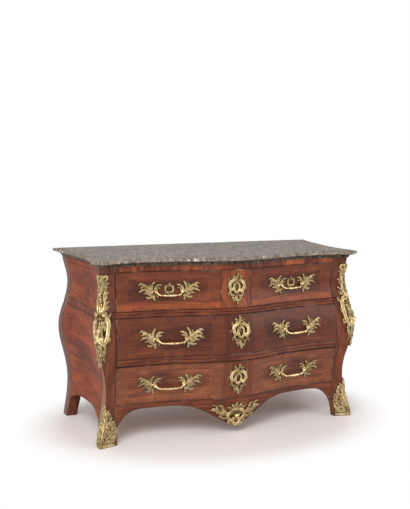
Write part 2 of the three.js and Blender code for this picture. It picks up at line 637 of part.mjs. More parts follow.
const REAR_RAIL_FRONT_Y = BACK_PANEL_FRONT_Y - SEAT_GAP - REAR_RAIL_DEPTH;
function rearRail(grow) {
  const half = REAR_STILE_INNER_X - SEAT_GAP;
  const tenonHalf = REAR_STILE_INNER_X + TENON_LENGTH + grow;
  const rail = boxBetween(
    -half,
    half,
    REAR_RAIL_FRONT_Y,
    BACK_PANEL_FRONT_Y - SEAT_GAP,
    TOP_DRAWER_TOP,
    CASE_HEIGHT - SEAT_GAP,
  );
  const middle = (REAR_RAIL_FRONT_Y + BACK_PANEL_FRONT_Y) / 2;
  const tongue = boxBetween(
    -tenonHalf,
    tenonHalf,
    middle - TENON_THICKNESS / 2 - grow,
    middle + TENON_THICKNESS / 2 + grow,
    TOP_DRAWER_TOP + TENON_SHOULDER - grow,
    CASE_HEIGHT - TENON_SHOULDER + grow,
  );
  return grow > 0 ? tongue : rail.add(tongue);
}

const rearPost = rearStile().subtract(backPanel(SEAT_GAP)).subtract(rearRail(SEAT_GAP));
add("rear_stile_right", rearPost, KINGWOOD);
add("rear_stile_left", mirrored(rearPost), KINGWOOD);
add("back_panel", backPanel(0), OAK);
add("top_rear_rail", rearRail(0), OAK);

// Side panels
function sidePanel() {
  const depthList = spread(STILE_DEPTH + SEAT_GAP, REAR_FACE_Y - SEAT_GAP, STATION_COUNTS.side);
  const first = depthList[0];
  const run = depthList[depthList.length - 1] - first;
  const heights = heightStations(SIDE_EDGE_HEIGHT, CASE_HEIGHT - SEAT_GAP, STATION_COUNTS.sideRise);
  const dropped = (y, z) => {
    const fade = Math.max(1 - (z - SIDE_EDGE_HEIGHT) / EDGE_FADE_HEIGHT, 0);
    return z - SIDE_EDGE_HEIGHT * sideEdge((y - first) / run) * fade;
  };
  return betweenSheets(
    depthList,
    heights,
    (y, z) => new THREE.Vector3(sideX(y, dropped(y, z)) - grooveDepth(z), y, dropped(y, z)),
    (y, z) => new THREE.Vector3(sideX(y, dropped(y, z)) - SIDE_THICKNESS, y, dropped(y, z)),
  );
}
const side = sidePanel();
add("side_panel_right", side, KINGWOOD);
add("side_panel_left", mirrored(side), KINGWOOD);

// Front rails and apron
const fullSpan = spread(-OPENING_HALF_WIDTH + SEAT_GAP, OPENING_HALF_WIDTH - SEAT_GAP, STATION_COUNTS.front);
function beadedRail(bottom, top) {
  const heights = BEAD_SHARES.map(([share]) => bottom + (top - bottom) * share);
  const beads = curveThrough(BEAD_SHARES);
  const rise = (x, z) => BEAD_RISE * beads((z - bottom) / (top - bottom));
  return frontSlab(fullSpan, heights, rise, RAIL_THICKNESS);
}
function withTenons(rail, bottom, top) {
  return rail.add(tenon(1, bottom, top, 0)).add(tenon(-1, bottom, top, 0));
}
add("lower_rail", withTenons(beadedRail(LOW_DRAWER_TOP, MIDDLE_DRAWER_FOOT), ...RAIL_BANDS[0]), RAILWOOD);
add("upper_rail", withTenons(beadedRail(MIDDLE_DRAWER_TOP, TOP_DRAWER_FOOT), ...RAIL_BANDS[1]), RAILWOOD);
const topRail = frontSlab(fullSpan, [TOP_DRAWER_TOP, CASE_HEIGHT - SEAT_GAP], noRise, RAIL_THICKNESS);
add("top_front_rail", withTenons(topRail, ...RAIL_BANDS[2]), RAILWOOD);

const apronSpan = spread(-OPENING_HALF_WIDTH + SEAT_GAP, OPENING_HALF_WIDTH - SEAT_GAP, STATION_COUNTS.apron);
function apronBody(grow) {
  const shares = spread(0, 1, STATION_COUNTS.apronRise);
  const levelAt = (x, share) => {
    const edge = APRON_EDGE_HEIGHT * (1 - apronEdge(Math.abs(x) / OPENING_HALF_WIDTH));
    const low = edge - grow;
    return low + (APRON_TOP - low) * share;
  };
  const faceAt = (x, share) => frontY(x, Math.max(levelAt(x, share), 0));
  return betweenSheets(
    apronSpan,
    shares,
    (x, share) => new THREE.Vector3(x, faceAt(x, share) - grow, levelAt(x, share)),
    (x, share) => new THREE.Vector3(x, faceAt(x, share) + APRON_THICKNESS, levelAt(x, share)),
  );
}
add("apron", withTenons(apronBody(0), ...APRON_TENON_BAND), KINGWOOD);

// Centre post between the two top drawers, with the partition behind it
const postSpan = spread(-CENTRE_POST_HALF_WIDTH, CENTRE_POST_HALF_WIDTH, STATION_COUNTS.halfFront / 3);
const topHeights = spread(TOP_DRAWER_FOOT + SEAT_GAP, TOP_DRAWER_TOP - SEAT_GAP, STATION_COUNTS.frontRise);
const proud = () => FRONT_PROUD;
add("centre_post", frontSlab(postSpan, topHeights, proud, POST_THICKNESS), KINGWOOD);
const partition = boxBetween(
  -PARTITION_THICKNESS / 2,
  PARTITION_THICKNESS / 2,
  -CUT_OVERRUN,
  REAR_RAIL_FRONT_Y - SEAT_GAP,
  TOP_DRAWER_FOOT + SEAT_GAP,
  TOP_DRAWER_TOP - SEAT_GAP,
).subtract(frontMass(postSpan, topHeights, POST_THICKNESS));
add("centre_partition", mainBody(partition), OAK);

// Dust boards with the drawer guides glued to them
function innerSideX(y, z0, z1) {
  return Math.min(sideX(y, z0), sideX(y, z1)) - SIDE_THICKNESS - MOUNT_SEAT_GAP;
}
function dustBoard(topZ, span, backAt, guides) {
  const z0 = topZ - DUST_BOARD_THICKNESS;
  const frontLine = span.map((x) => [x, Math.max(frontY(x, z0), frontY(x, topZ)) + backAt + DRAWER_GAP]);
  const first = Math.max(STILE_DEPTH, frontLine[0][1]) + DRAWER_GAP;
  const sideLine = spread(first, REAR_FACE_Y - DRAWER_GAP, STATION_COUNTS.side).map(
    (y) => [innerSideX(y, z0, topZ) - DRAWER_GAP, y],
  );
  const rearLine = [
    [REAR_STILE_INNER_X - DRAWER_GAP, REAR_FACE_Y - DRAWER_GAP],
    [REAR_STILE_INNER_X - DRAWER_GAP, BACK_PANEL_FRONT_Y - SEAT_GAP],
  ];
  const right = [[span[span.length - 1], first], ...sideLine, ...rearLine];
  const left = right.map(([x, y]) => [-x, y]).reverse();
  let made = board([...frontLine, ...right, ...left], z0, topZ);
  for (const [inner, outer] of guides) {
    for (const sign of [-1, 1]) {
      const guide = boxBetween(
        inner,
        outer,
        STILE_DEPTH + GUIDE_END_GAP,
        REAR_FACE_Y - GUIDE_END_GAP,
        topZ - DUST_BOARD_THICKNESS / 2,
        topZ + GUIDE_HEIGHT,
      );
      made = made.add(sign > 0 ? guide : mirrored(guide));
    }
  }
  return made;
}
const sideGuide = [OPENING_HALF_WIDTH + SEAT_GAP, OPENING_HALF_WIDTH + SEAT_GAP + GUIDE_WIDTH];
const topSideGuide = sideGuide.map((x) => x - TOP_OPENING_INSET);
const midGuide = [CENTRE_POST_HALF_WIDTH - GUIDE_WIDTH, CENTRE_POST_HALF_WIDTH - SEAT_GAP];
add("upper_dust_board", dustBoard(TOP_DRAWER_FOOT, fullSpan, RAIL_THICKNESS, [topSideGuide, midGuide]), OAK);
add("lower_dust_board", dustBoard(MIDDLE_DRAWER_FOOT, fullSpan, RAIL_THICKNESS, [sideGuide]), OAK);
add("bottom_board", dustBoard(APRON_TOP, apronSpan, APRON_THICKNESS, [sideGuide]), OAK);

// Drawers
const seats = {};
function drawer(name, x0, x1, z0, z1, columns) {
  const span = spread(x0 + DRAWER_GAP, x1 - DRAWER_GAP, columns);
  const heights = spread(z0 + DRAWER_GAP, z1 - DRAWER_GAP, STATION_COUNTS.frontRise);
  add(name + "_front", frontSlab(span, heights, proud, FRONT_THICKNESS), KINGWOOD);
  seats[name] = frontSlab(span, heights, () => FRONT_PROUD + MOUNT_SEAT_GAP, FRONT_THICKNESS);
  const mass = frontMass(span, heights, FRONT_THICKNESS);
  const left = x0 + DRAWER_SIDE_GAP;
  const right = x1 - DRAWER_SIDE_GAP;
  const rear = REAR_RAIL_FRONT_Y - DRAWER_BACK_CLEARANCE;
  const foot = z0 + SEAT_GAP;
  const top = z1 - DRAWER_TOP_CLEARANCE;
  const sideBoard = (x) => boxBetween(x, x + DRAWER_SIDE_THICKNESS, -CASE_DEPTH / 2, rear, foot, top);
  const backBoard = boxBetween(left, right, rear - DRAWER_BACK_THICKNESS, rear, foot, top);
  const bottomBoard = (grow) => {
    const inset = DRAWER_SIDE_THICKNESS - DRAWER_BOTTOM_GROOVE - grow;
    return boxBetween(
      left + inset,
      right - inset,
      -CASE_DEPTH / 2,
      rear - DRAWER_BACK_THICKNESS + DRAWER_BOTTOM_GROOVE + grow,
      foot + DRAWER_BOTTOM_LIFT - grow,
      foot + DRAWER_BOTTOM_LIFT + DRAWER_BOTTOM_THICKNESS + grow,
    );
  };
  const box = sideBoard(left).add(sideBoard(right - DRAWER_SIDE_THICKNESS)).add(backBoard);
  add(name + "_box", mainBody(box.subtract(bottomBoard(SEAT_GAP)).subtract(mass)), OAK);
  add(name + "_bottom", mainBody(bottomBoard(0).subtract(mass)), OAK);
}
const halfSpan = STATION_COUNTS.halfFront;
drawer("drawer_top_left", -TOP_OUTER_X, -CENTRE_POST_HALF_WIDTH, TOP_DRAWER_FOOT, TOP_DRAWER_TOP, halfSpan);
drawer("drawer_top_right", CENTRE_POST_HALF_WIDTH, TOP_OUTER_X, TOP_DRAWER_FOOT, TOP_DRAWER_TOP, halfSpan);
const wholeSpan = [-OPENING_HALF_WIDTH, OPENING_HALF_WIDTH];
drawer("drawer_middle", ...wholeSpan, MIDDLE_DRAWER_FOOT, MIDDLE_DRAWER_TOP, STATION_COUNTS.front);
drawer("drawer_bottom", ...wholeSpan, APRON_TOP, LOW_DRAWER_TOP, STATION_COUNTS.front);

// Marble top, its edge hollowed below a projecting lip
function marbleTop() {
  const foot = [];
  const lip = [];
  const top = CASE_HEIGHT;
  const earX = CASE_HALF_WIDTH - MARBLE_EAR_INSET;
  const front = spread(0, 1, STATION_COUNTS.marbleFront / 2);
  for (const share of front) {
    const x = earX * share;
    const edge = frontY(x, top);
    const flare = Math.max((share - LIP_FLARE_START_SHARE) / (1 - LIP_FLARE_START_SHARE), 0);
    const earLine = -MARBLE_EAR_FORWARD - (edge - MARBLE_FRONT_OVERHANG);
    foot.push([x, edge - MARBLE_FOOT_MARGIN]);
    lip.push([x, edge - MARBLE_FRONT_OVERHANG + earLine * flare * flare]);
  }
  const sideEar = [CASE_HALF_WIDTH + MARBLE_SIDE_EAR_OUT, -MARBLE_SIDE_EAR_FORWARD];
  const frontEar = lip[lip.length - 1];
  const middle = [(sideEar[0] + frontEar[0]) / 2, (sideEar[1] + frontEar[1]) / 2];
  lip.push([middle[0] - MARBLE_CANT_HOLLOW, middle[1] + MARBLE_CANT_HOLLOW], sideEar);
  foot.push([CASE_HALF_WIDTH + MARBLE_FOOT_MARGIN, -MARBLE_FOOT_MARGIN / 2]);
  foot.push([CASE_HALF_WIDTH + MARBLE_FOOT_MARGIN, CORNER_CANT]);
  for (const share of spread(0, 1, STATION_COUNTS.marbleSide).slice(1)) {
    const y = CASE_DEPTH * share;
    const edge = sideX(y, top);
    const frontFlare = Math.max(1 - share / SIDE_LIP_FADE_SHARE, 0);
    const backFlare = Math.max((share - 1 + SIDE_LIP_FADE_SHARE) / SIDE_LIP_FADE_SHARE, 0);
    const reach = MARBLE_SIDE_OVERHANG
      + (MARBLE_SIDE_EAR_OUT - MARBLE_SIDE_OVERHANG) * frontFlare * frontFlare
      + MARBLE_BACK_TIP * backFlare * backFlare;
    foot.push([edge + MARBLE_FOOT_MARGIN, y]);
    lip.push([edge + reach, y + MARBLE_BACK_OVERHANG * share]);
  }
  const whole = (list) => [
    ...list,
    ...list.slice(1).map(([x, y]) => [-x, y]).reverse(),
  ];
  const footRing = whole(foot);
  const lipRing = whole(lip);
  const rings = MARBLE_EDGE_SHARES.map(([rise, out]) => footRing.map(([x, y], i) => new THREE.Vector3(
    x + (lipRing[i][0] - x) * out,
    y + (lipRing[i][1] - y) * out,
    CASE_HEIGHT + MARBLE_THICKNESS * rise,
  )));
  return throughRings(rings, planCaps(rings[rings.length - 1]));
}
add("marble_top", marbleTop(), MARBLE);

// Places on the wood for the mounts: a runs across, b up and h out from the face
function normalOf(face, u, z, step) {
  const across = face(u + step, z).sub(face(u - step, z));
  const up = face(u, z + NORMAL_STEP).sub(face(u, z - NORMAL_STEP));
  return across.cross(up).normalize();
}

function onFront(x0, z0, rise) {
  const face = (x, z) => new THREE.Vector3(x, frontY(x, z) - rise, z);
  return (a, b, h) => face(x0 + a, z0 + b).addScaledVector(normalOf(face, x0 + a, z0 + b, NORMAL_STEP), h);
}

// Round the right front corner, the front face on the positive side of zero
function cornerFace(u, z) {
  const x = cornerX(z) - Math.max(u, CORNER_CANT);
  const y = cornerY(z) + Math.max(-u, CORNER_CANT);
  const front = new THREE.Vector3(x, frontY(x, z), z);
  const flank = new THREE.Vector3(sideX(y, z), y, z);
  if (u >= CORNER_CANT) return front;
  if (u <= -CORNER_CANT) return flank;
  return front.lerp(flank, (CORNER_CANT - u) / (2 * CORNER_CANT));
}

function onCorner(z0) {
  const turned = (u, z) => cornerFace(-u, z);
  return (a, b, h) => turned(-a, z0 + b).addScaledVector(normalOf(turned, -a, z0 + b, CORNER_BLEND), h);
}

// One cast leaf with a ridge along its middle line
const leafWidth = curveThrough(LEAF_WIDTH_SHARES);
const leafCrest = curveThrough(LEAF_CREST_SHARES);
function leaf(shares, scale, relief, lay, count) {
  const path = new THREE.SplineCurve(shares.line.map(([a, b]) => new THREE.Vector2(a * scale, b * scale)));
  const rings = spread(0, 1, count).map((share) => {
    const at = path.getPoint(share);
    const along = path.getTangent(share);
    const half = Math.max(shares.width * scale * leafWidth(share), LEAF_TIP_HALF_WIDTH);
    const crest = LEAF_EDGE + (relief * shares.rise - LEAF_EDGE) * leafCrest(share);
    const place = (out, h) => lay(at.x - along.y * out, at.y + along.x * out, h);
    return [place(-half, -LEAF_SINK), place(0, crest), place(half, -LEAF_SINK)];
  });
  return throughRings(rings, fanCaps(rings[0].length));
}

function castLeaves(leafShares, scale, relief, lay, count) {
  const leaves = leafShares.map((shares) => leaf(shares, scale, relief, lay, count));
  return leaves.reduce((all, one) => all.add(one)).asOriginal().simplify(CAST_SMOOTHING);
}

// A straight round body from ring centres, a direction and radii
function roundBody(centres, radii, along, sides) {
  const first = new THREE.Vector3(0, 0, 1).addScaledVector(along, -along.z).normalize();
  const second = along.clone().cross(first);
  const rings = centres.map((centre, i) => spread(0, 2 * Math.PI, sides).slice(1).map((angle) => centre
    .clone()
    .addScaledVector(first, radii[i] * Math.cos(angle))
    .addScaledVector(second, radii[i] * Math.sin(angle))));
  return throughRings(rings, fanCaps(sides));
}

// A keyhole cut straight in from a place on the face
function keyhole(lay) {
  const prism = (outline) => throughRings(
    [-KEYHOLE_DEPTH, KEYHOLE_OVERRUN].map((h) => outline.map(([a, b]) => lay(a, b, h))),
    fanCaps(outline.length),
  );
  const round = spread(0, 2 * Math.PI, STATION_COUNTS.post)
    .slice(1)
    .map((angle) => [KEYHOLE_RADIUS * Math.cos(angle), KEYHOLE_RADIUS * Math.sin(angle)]);
  const slot = [
    [-KEYHOLE_HALF_WIDTH, -KEYHOLE_LENGTH],
    [KEYHOLE_HALF_WIDTH, -KEYHOLE_LENGTH],
    [KEYHOLE_HALF_WIDTH, 0],
    [-KEYHOLE_HALF_WIDTH, 0],
  ];
  return prism(round).add(prism(slot));
}

// Handles: two leaf plates with a post each, and a bail that swings between the posts
function handle(name, x0, z0, spacing, seat) {
  const lay = onFront(x0, z0, FRONT_PROUD);
  const ends = [-1, 1].map((sign) => lay(sign * spacing, 0, BAIL_AXIS_HEIGHT));
  const along = ends[1].clone().sub(ends[0]).normalize();
  const forward = along.clone().cross(new THREE.Vector3(0, 0, 1)).normalize();
  const middle = ends[0].clone().lerp(ends[1], 1 / 2);
  const halfSpread = ends[0].distanceTo(ends[1]) / 2;
  for (const sign of [-1, 1]) {
    const base = lay(sign * spacing, 0, POST_FOOT_HEIGHT);
    const out = lay(sign * spacing, 0, KNOB_POST_HEIGHT).sub(base).normalize();
    const rise = KNOB_POST_HEIGHT - POST_FOOT_HEIGHT;
    const centres = POST_SHARES.map(([share]) => base.clone().addScaledVector(out, rise * share));
    const radii = POST_SHARES.map(([, share]) => KNOB_POST_RADIUS * share);
    const post = roundBody(centres, radii, out, STATION_COUNTS.post);
    const inner = halfSpread - KNOB_POST_RADIUS;
    const boreEnds = [inner + BAIL_BORE_DEPTH, inner - BAIL_BORE_DEPTH];
    const bore = roundBody(
      boreEnds.map((s) => middle.clone().addScaledVector(along, sign * s)),
      [BAIL_BORE_RADIUS, BAIL_BORE_RADIUS],
      along,
      STATION_COUNTS.ring,
    );
    const plateLay = (a, b, h) => lay(sign * (spacing - a), b, h);
    const leafCount = STATION_COUNTS.smallLeaf;
    const plate = castLeaves(PLATE_LEAF_SHARES, PLATE_REACH, PLATE_RELIEF, plateLay, leafCount);
    const cast = bedded(plate, seat).add(post).subtract(bore);
    add(name + (sign < 0 ? "_plate_left" : "_plate_right"), mainBody(cast), GILT);
  }
  const pinStart = halfSpread - KNOB_POST_RADIUS + BAIL_PIN_ENTRY;
  const half = BAIL_LINE_SHARES.map(([s, f, d, r]) => [s * pinStart, f * BAIL_FORWARD, -d * BAIL_DROP, r]);
  const line = [...half, ...half.slice(0, -1).reverse().map(([s, f, d, r]) => [-s, f, d, r])];
  const centres = line.map(([s, f, d]) => middle
    .clone()
    .addScaledVector(along, s)
    .addScaledVector(forward, f)
    .add(new THREE.Vector3(0, 0, d)));
  const rings = centres.map((centre, i) => {
    const before = centres[Math.max(i - 1, 0)];
    const after = centres[Math.min(i + 1, centres.length - 1)];
    const heading = after.clone().sub(before).normalize();
    const sideways = forward.clone().addScaledVector(heading, -heading.dot(forward)).normalize();
    const third = heading.clone().cross(sideways);
    return spread(0, 2 * Math.PI, STATION_COUNTS.ring).slice(1).map((angle) => centre
      .clone()
      .addScaledVector(sideways, BAIL_RADIUS * line[i][3] * Math.cos(angle))
      .addScaledVector(third, BAIL_RADIUS * line[i][3] * Math.sin(angle)));
  });
  add(name + "_bail", throughRings(rings, fanCaps(STATION_COUNTS.ring)), GILT);
}

const middleOf = (foot, top) => (foot + top) / 2;
const [topZ, middleZ, bottomZ] = [
  middleOf(TOP_DRAWER_FOOT, TOP_DRAWER_TOP),
  middleOf(MIDDLE_DRAWER_FOOT, MIDDLE_DRAWER_TOP),
  middleOf(APRON_TOP, LOW_DRAWER_TOP),
];
const LEFT_X = -middleOf(CENTRE_POST_HALF_WIDTH, TOP_OUTER_X);
const RIGHT_X = RIGHT_HANDLE_SHIFT - LEFT_X;
const TOP_LEFT_X = LEFT_X + TOP_LEFT_HANDLE_SHIFT;
const ROWS = [
  ["top_left", "drawer_top_left", TOP_LEFT_X, topZ, TOP_POST_SPREAD],
  ["top_right", "drawer_top_right", RIGHT_X, topZ, TOP_POST_SPREAD],
  ["middle_left", "drawer_middle", LEFT_X, middleZ, POST_SPREAD],
  ["middle_right", "drawer_middle", RIGHT_X, middleZ, POST_SPREAD],
  ["bottom_left", "drawer_bottom", LEFT_X, bottomZ, POST_SPREAD],
  ["bottom_right", "drawer_bottom", RIGHT_X, bottomZ, POST_SPREAD],
];
for (const [name, drawerName, x, z, spacing] of ROWS) {
  handle("handle_" + name, x, z - HANDLE_DROP, spacing, seats[drawerName]);
}

// Escutcheons, with the keyholes cut on into the drawer fronts
function cutFront(drawerName, hole) {
  const front = pieces.find((piece) => piece.name === drawerName + "_front");
  front.solid = front.solid.subtract(hole);
}
function escutcheon(name, x, z, shares, scale, relief, seat, drawerName) {
  const lay = onFront(x, z, FRONT_PROUD);
  let cast = bedded(castLeaves(shares, scale, relief, lay, STATION_COUNTS.smallLeaf), seat);
  if (drawerName) {
    const hole = keyhole(lay);
    cast = cast.subtract(hole);
    cutFront(drawerName, hole);
  }
  add(name, mainBody(cast), GILT);
}
const postSeat = frontSlab(postSpan, topHeights, () => FRONT_PROUD + MOUNT_SEAT_GAP, POST_THICKNESS);
const big = [ESCUTCHEON_LEAF_SHARES, ESCUTCHEON_HALF_HEIGHT, ESCUTCHEON_RELIEF];
const small = [SMALL_ESCUTCHEON_LEAF_SHARES, SMALL_ESCUTCHEON_HALF_HEIGHT, SMALL_ESCUTCHEON_RELIEF];
escutcheon("escutcheon_top", 0, topZ, ...big, postSeat, "");
const liftedZ = middleZ + MIDDLE_ESCUTCHEON_LIFT;
escutcheon("escutcheon_middle", 0, liftedZ, ...big, seats.drawer_middle, "drawer_middle");
escutcheon("escutcheon_bottom", 0, bottomZ, ...big, seats.drawer_bottom, "drawer_bottom");
escutcheon("escutcheon_top_left", TOP_LEFT_X, topZ, ...small, seats.drawer_top_left, "drawer_top_left");
escutcheon("escutcheon_top_right", RIGHT_X, topZ, ...small, seats.drawer_top_right, "drawer_top_right");

// Corner chutes and sabots
const chute = bedded(
  castLeaves(CHUTE_LEAF_SHARES, CHUTE_HEIGHT, CHUTE_RELIEF, onCorner(CHUTE_TOP), STATION_COUNTS.leaf),
  stileSeat,
);
add("chute_right", mainBody(chute), GILT);
add("chute_left", mainBody(mirrored(chute)), GILT);

const sabotLay = onCorner(SABOT_FLOOR_GAP);
const sabotBand = betweenSheets(
  SABOT_BAND_SHARES.map((share) => share * SABOT_BAND_REACH),
  spread(0, SABOT_BAND_HEIGHT, 2),
  (u, z) => sabotLay(u, z, SABOT_BAND_RISE),
  (u, z) => sabotLay(u, z, -LEAF_SINK),
);
const sabot = bedded(
  castLeaves(SABOT_LEAF_SHARES, SABOT_HEIGHT, SABOT_RELIEF, sabotLay, STATION_COUNTS.leaf).add(sabotBand),
  stileSeat,
);
add("sabot_right", sabot, GILT);
add("sabot_left", mirrored(sabot), GILT);

// Mount on the drop of the apron
const apronCast = castLeaves(
  APRON_LEAF_SHARES,
  APRON_MOUNT_HALF_WIDTH,
  APRON_MOUNT_RELIEF,
  onFront(0, APRON_MOUNT_Z, 0),
  STATION_COUNTS.leaf,
);
add("apron_mount", bedded(apronCast, apronBody(MOUNT_SEAT_GAP)), GILT);

// The finished chest, its middle over the middle of the floor it stands on
const group = new THREE.Group();
const reach = new THREE.Box3();
for (const { name, solid, material } of pieces) {
  const cut = solid.getMesh();
  const geometry = new THREE.BufferGeometry();
  const positions = new Float32Array(cut.vertProperties);
  geometry.setAttribute("position", new THREE.BufferAttribute(positions, cut.numProp));
  geometry.setIndex(new THREE.BufferAttribute(new Uint32Array(cut.triVerts), 1));
  geometry.computeBoundingBox();
  reach.union(geometry.boundingBox);
  const mesh = new THREE.Mesh(geometry, material);
  mesh.name = name;
  group.add(mesh);
}
const centre = reach.getCenter(new THREE.Vector3());
for (const mesh of group.children) {
  mesh.geometry.translate(-centre.x, -centre.y, -reach.min.z);
  mesh.geometry.computeVertexNormals();
}

export default group;
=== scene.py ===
import json
import math
from functools import partial

import bmesh
import bpy
import numpy as np
from mathutils import Matrix, Vector
from mathutils.bvhtree import BVHTree
from mathutils.kdtree import KDTree


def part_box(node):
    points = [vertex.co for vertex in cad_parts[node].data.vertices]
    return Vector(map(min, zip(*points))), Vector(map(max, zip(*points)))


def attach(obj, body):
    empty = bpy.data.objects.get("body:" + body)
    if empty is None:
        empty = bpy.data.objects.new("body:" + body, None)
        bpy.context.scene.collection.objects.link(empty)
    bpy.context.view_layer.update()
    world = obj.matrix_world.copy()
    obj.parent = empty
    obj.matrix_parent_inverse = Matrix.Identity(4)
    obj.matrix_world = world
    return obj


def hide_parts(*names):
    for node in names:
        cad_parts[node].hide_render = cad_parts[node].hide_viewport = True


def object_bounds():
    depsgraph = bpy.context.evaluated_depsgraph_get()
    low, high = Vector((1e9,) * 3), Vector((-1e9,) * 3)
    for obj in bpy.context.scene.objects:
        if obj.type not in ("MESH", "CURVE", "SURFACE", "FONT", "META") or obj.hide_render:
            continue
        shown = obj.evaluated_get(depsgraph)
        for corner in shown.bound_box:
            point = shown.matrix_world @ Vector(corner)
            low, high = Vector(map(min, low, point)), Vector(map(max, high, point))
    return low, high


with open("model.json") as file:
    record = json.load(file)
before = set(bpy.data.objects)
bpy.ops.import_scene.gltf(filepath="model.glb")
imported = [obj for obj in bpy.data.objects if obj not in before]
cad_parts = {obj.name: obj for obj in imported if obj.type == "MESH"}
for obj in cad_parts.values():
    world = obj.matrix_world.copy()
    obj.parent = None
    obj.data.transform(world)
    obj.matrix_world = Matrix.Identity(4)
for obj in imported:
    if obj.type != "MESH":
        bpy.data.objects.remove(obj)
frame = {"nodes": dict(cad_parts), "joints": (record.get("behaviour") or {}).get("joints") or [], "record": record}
cad_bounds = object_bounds()


def new_object(name, data):
    """An object linked into the scene."""
    made = bpy.data.objects.new(name, data)
    bpy.context.scene.collection.objects.link(made)
    return made


# The camera
# It stands left of the chest's middle, a little above the top, and looks slightly down with a
# long lens. Its angles and focal length come from the chest's own corners.
PHOTO_HEIGHT_PX = 509
FOCAL_PX = 852.0
SENSOR_WIDTH = 36.0
camera_place = Vector((-1.8296, -3.8559, 1.3538))
yaw, pitch, roll = (math.radians(angle) for angle in (24.834, 6.907, 0.887))

ahead = Vector((math.sin(yaw) * math.cos(pitch), math.cos(yaw) * math.cos(pitch), -math.sin(pitch)))
level_right = Vector((math.cos(yaw), -math.sin(yaw), 0))
level_up = level_right.cross(ahead)
right = level_right * math.cos(roll) + level_up * math.sin(roll)
up = level_up * math.cos(roll) - level_right * math.sin(roll)

camera_data = bpy.data.cameras.new("camera")
camera_data.sensor_width = SENSOR_WIDTH
camera_data.lens = FOCAL_PX * SENSOR_WIDTH / PHOTO_HEIGHT_PX
camera = new_object("camera", camera_data)
camera.matrix_world = Matrix.Translation(camera_place) @ Matrix((right, up, -ahead)).transposed().to_4x4()
bpy.context.scene.camera = camera

# The studio
# A pale floor that runs into a white backdrop, one large soft lamp over the left front, a weak
# one from the right, and an even white room.
FLOOR_HALF_SIZE = 9.0
FLOOR_TONE = (0.9, 0.87, 0.87, 1)
FLOOR_SHADE = (1.0, 0.62, 0.5, 1)
FLOOR_GLOW = 0.05
FLOOR_SPAN = (0.7, 1.02)
FLOOR_STRETCH = (1.0, 1.35, 1.0)
ROOM_LEVEL = 0.5
LAMP_TARGET = Vector((0, 0, 0.4))
WHITE = (1, 1, 1, 1)


def fill(made, inputs):
    """Sets a node's inputs to values, or links them to other sockets."""
    for label, value in inputs.items():
        if isinstance(value, bpy.types.NodeSocket):
            made.id_data.links.new(value, made.inputs[label])
        else:
            made.inputs[label].default_value = value


def add_node(tree, kind, inputs=None, **settings):
    """A node's outputs, once it has its settings and inputs."""
    made = tree.nodes.new(kind)
    for label, value in settings.items():
        setattr(made, label, value)
    fill(made, inputs or {})
    return made.outputs


def fed(kind, inputs, **settings):
    """The outputs of a node made in the tree of the sockets that feed it."""
    tree = next(value.id_data for value in inputs.values() if isinstance(value, bpy.types.NodeSocket))
    return add_node(tree, kind, inputs, **settings)


def calculate(operation, *values):
    """The result socket of one Math node."""
    return fed("ShaderNodeMath", dict(enumerate(values)), operation=operation)[0]


# The Math nodes by short names. The last one is a value times a slope, plus a start.
times, minus, plus, ratio, below, above, least, most, absolute, linear = (
    partial(calculate, operation) for operation in (
        "MULTIPLY", "SUBTRACT", "ADD", "DIVIDE", "LESS_THAN", "GREATER_THAN", "MINIMUM", "MAXIMUM",
        "ABSOLUTE", "MULTIPLY_ADD"))


def scaled(place, scales):
    """A place drawn out by a factor in each direction."""
    return fed("ShaderNodeVectorMath", {0: place, 1: scales}, operation="MULTIPLY")[0]


def noise(place, scale, detail, distortion=0.0, roughness=0.5):
    """Noise at a place."""
    inputs = {"Vector": place, "Scale": scale, "Detail": detail, "Roughness": roughness,
              "Distortion": distortion}
    return fed("ShaderNodeTexNoise", inputs)["Fac"]


def blend_colour(factor, first, second, kind="MIX"):
    """The result socket of one colour Mix node."""
    return fed("ShaderNodeMix", {0: factor, 6: first, 7: second}, data_type="RGBA", blend_type=kind)[2]


def blend_value(factor, first, second):
    """The result socket of one value Mix node."""
    return fed("ShaderNodeMix", {0: factor, 2: first, 3: second})[0]


def stepped(value, start, end, low=0.0, high=1.0, **settings):
    """A value spread so that start gives low and end gives high."""
    inputs = {"Value": value, "From Min": start, "From Max": end, "To Min": low, "To Max": high}
    return fed("ShaderNodeMapRange", inputs, **settings)[0]


def fading(value, start, end, level=1.0):
    """A level that holds up to start and falls to nothing at end."""
    return stepped(value, start, end, level, 0.0)


def seen_directly(tree):
    """One for rays from the camera, from mirrors and through glass."""
    rays = add_node(tree, "ShaderNodeLightPath")
    return most(rays["Is Camera Ray"], most(rays["Is Glossy Ray"], rays["Is Transmission Ray"]))


room = bpy.data.worlds.new("room")
room.use_nodes = True
bpy.context.scene.world = room
room_level = blend_value(seen_directly(room.node_tree), ROOM_LEVEL, 1.0)
fill(room.node_tree.nodes["Background"], {"Color": WHITE, "Strength": room_level})

edge = FLOOR_HALF_SIZE
floor_mesh = bpy.data.meshes.new("floor")
floor_corners = [(-edge, -edge, 0), (edge, -edge, 0), (edge, edge, 0), (-edge, edge, 0)]
floor_mesh.from_pydata(floor_corners, [], [(0, 1, 2, 3)])
floor = new_object("floor", floor_mesh)
floor_look = bpy.data.materials.new("floor")
floor_look.use_nodes = True
floor_tree = floor_look.node_tree
floor_shader = floor_tree.nodes["Principled BSDF"]
floor_seen = seen_directly(floor_tree)
fill(floor_shader, {
    "Base Color": FLOOR_TONE, "Roughness": 0.6, "Specular IOR Level": 0.2,
    "Emission Color": FLOOR_SHADE, "Emission Strength": times(floor_seen, FLOOR_GLOW),
})
floor_place = scaled(add_node(floor_tree, "ShaderNodeTexCoord")["Object"], FLOOR_STRETCH)
distance = fed("ShaderNodeVectorMath", {0: floor_place}, operation="LENGTH")["Value"]
far = stepped(distance, *FLOOR_SPAN, interpolation_type="SMOOTHSTEP")
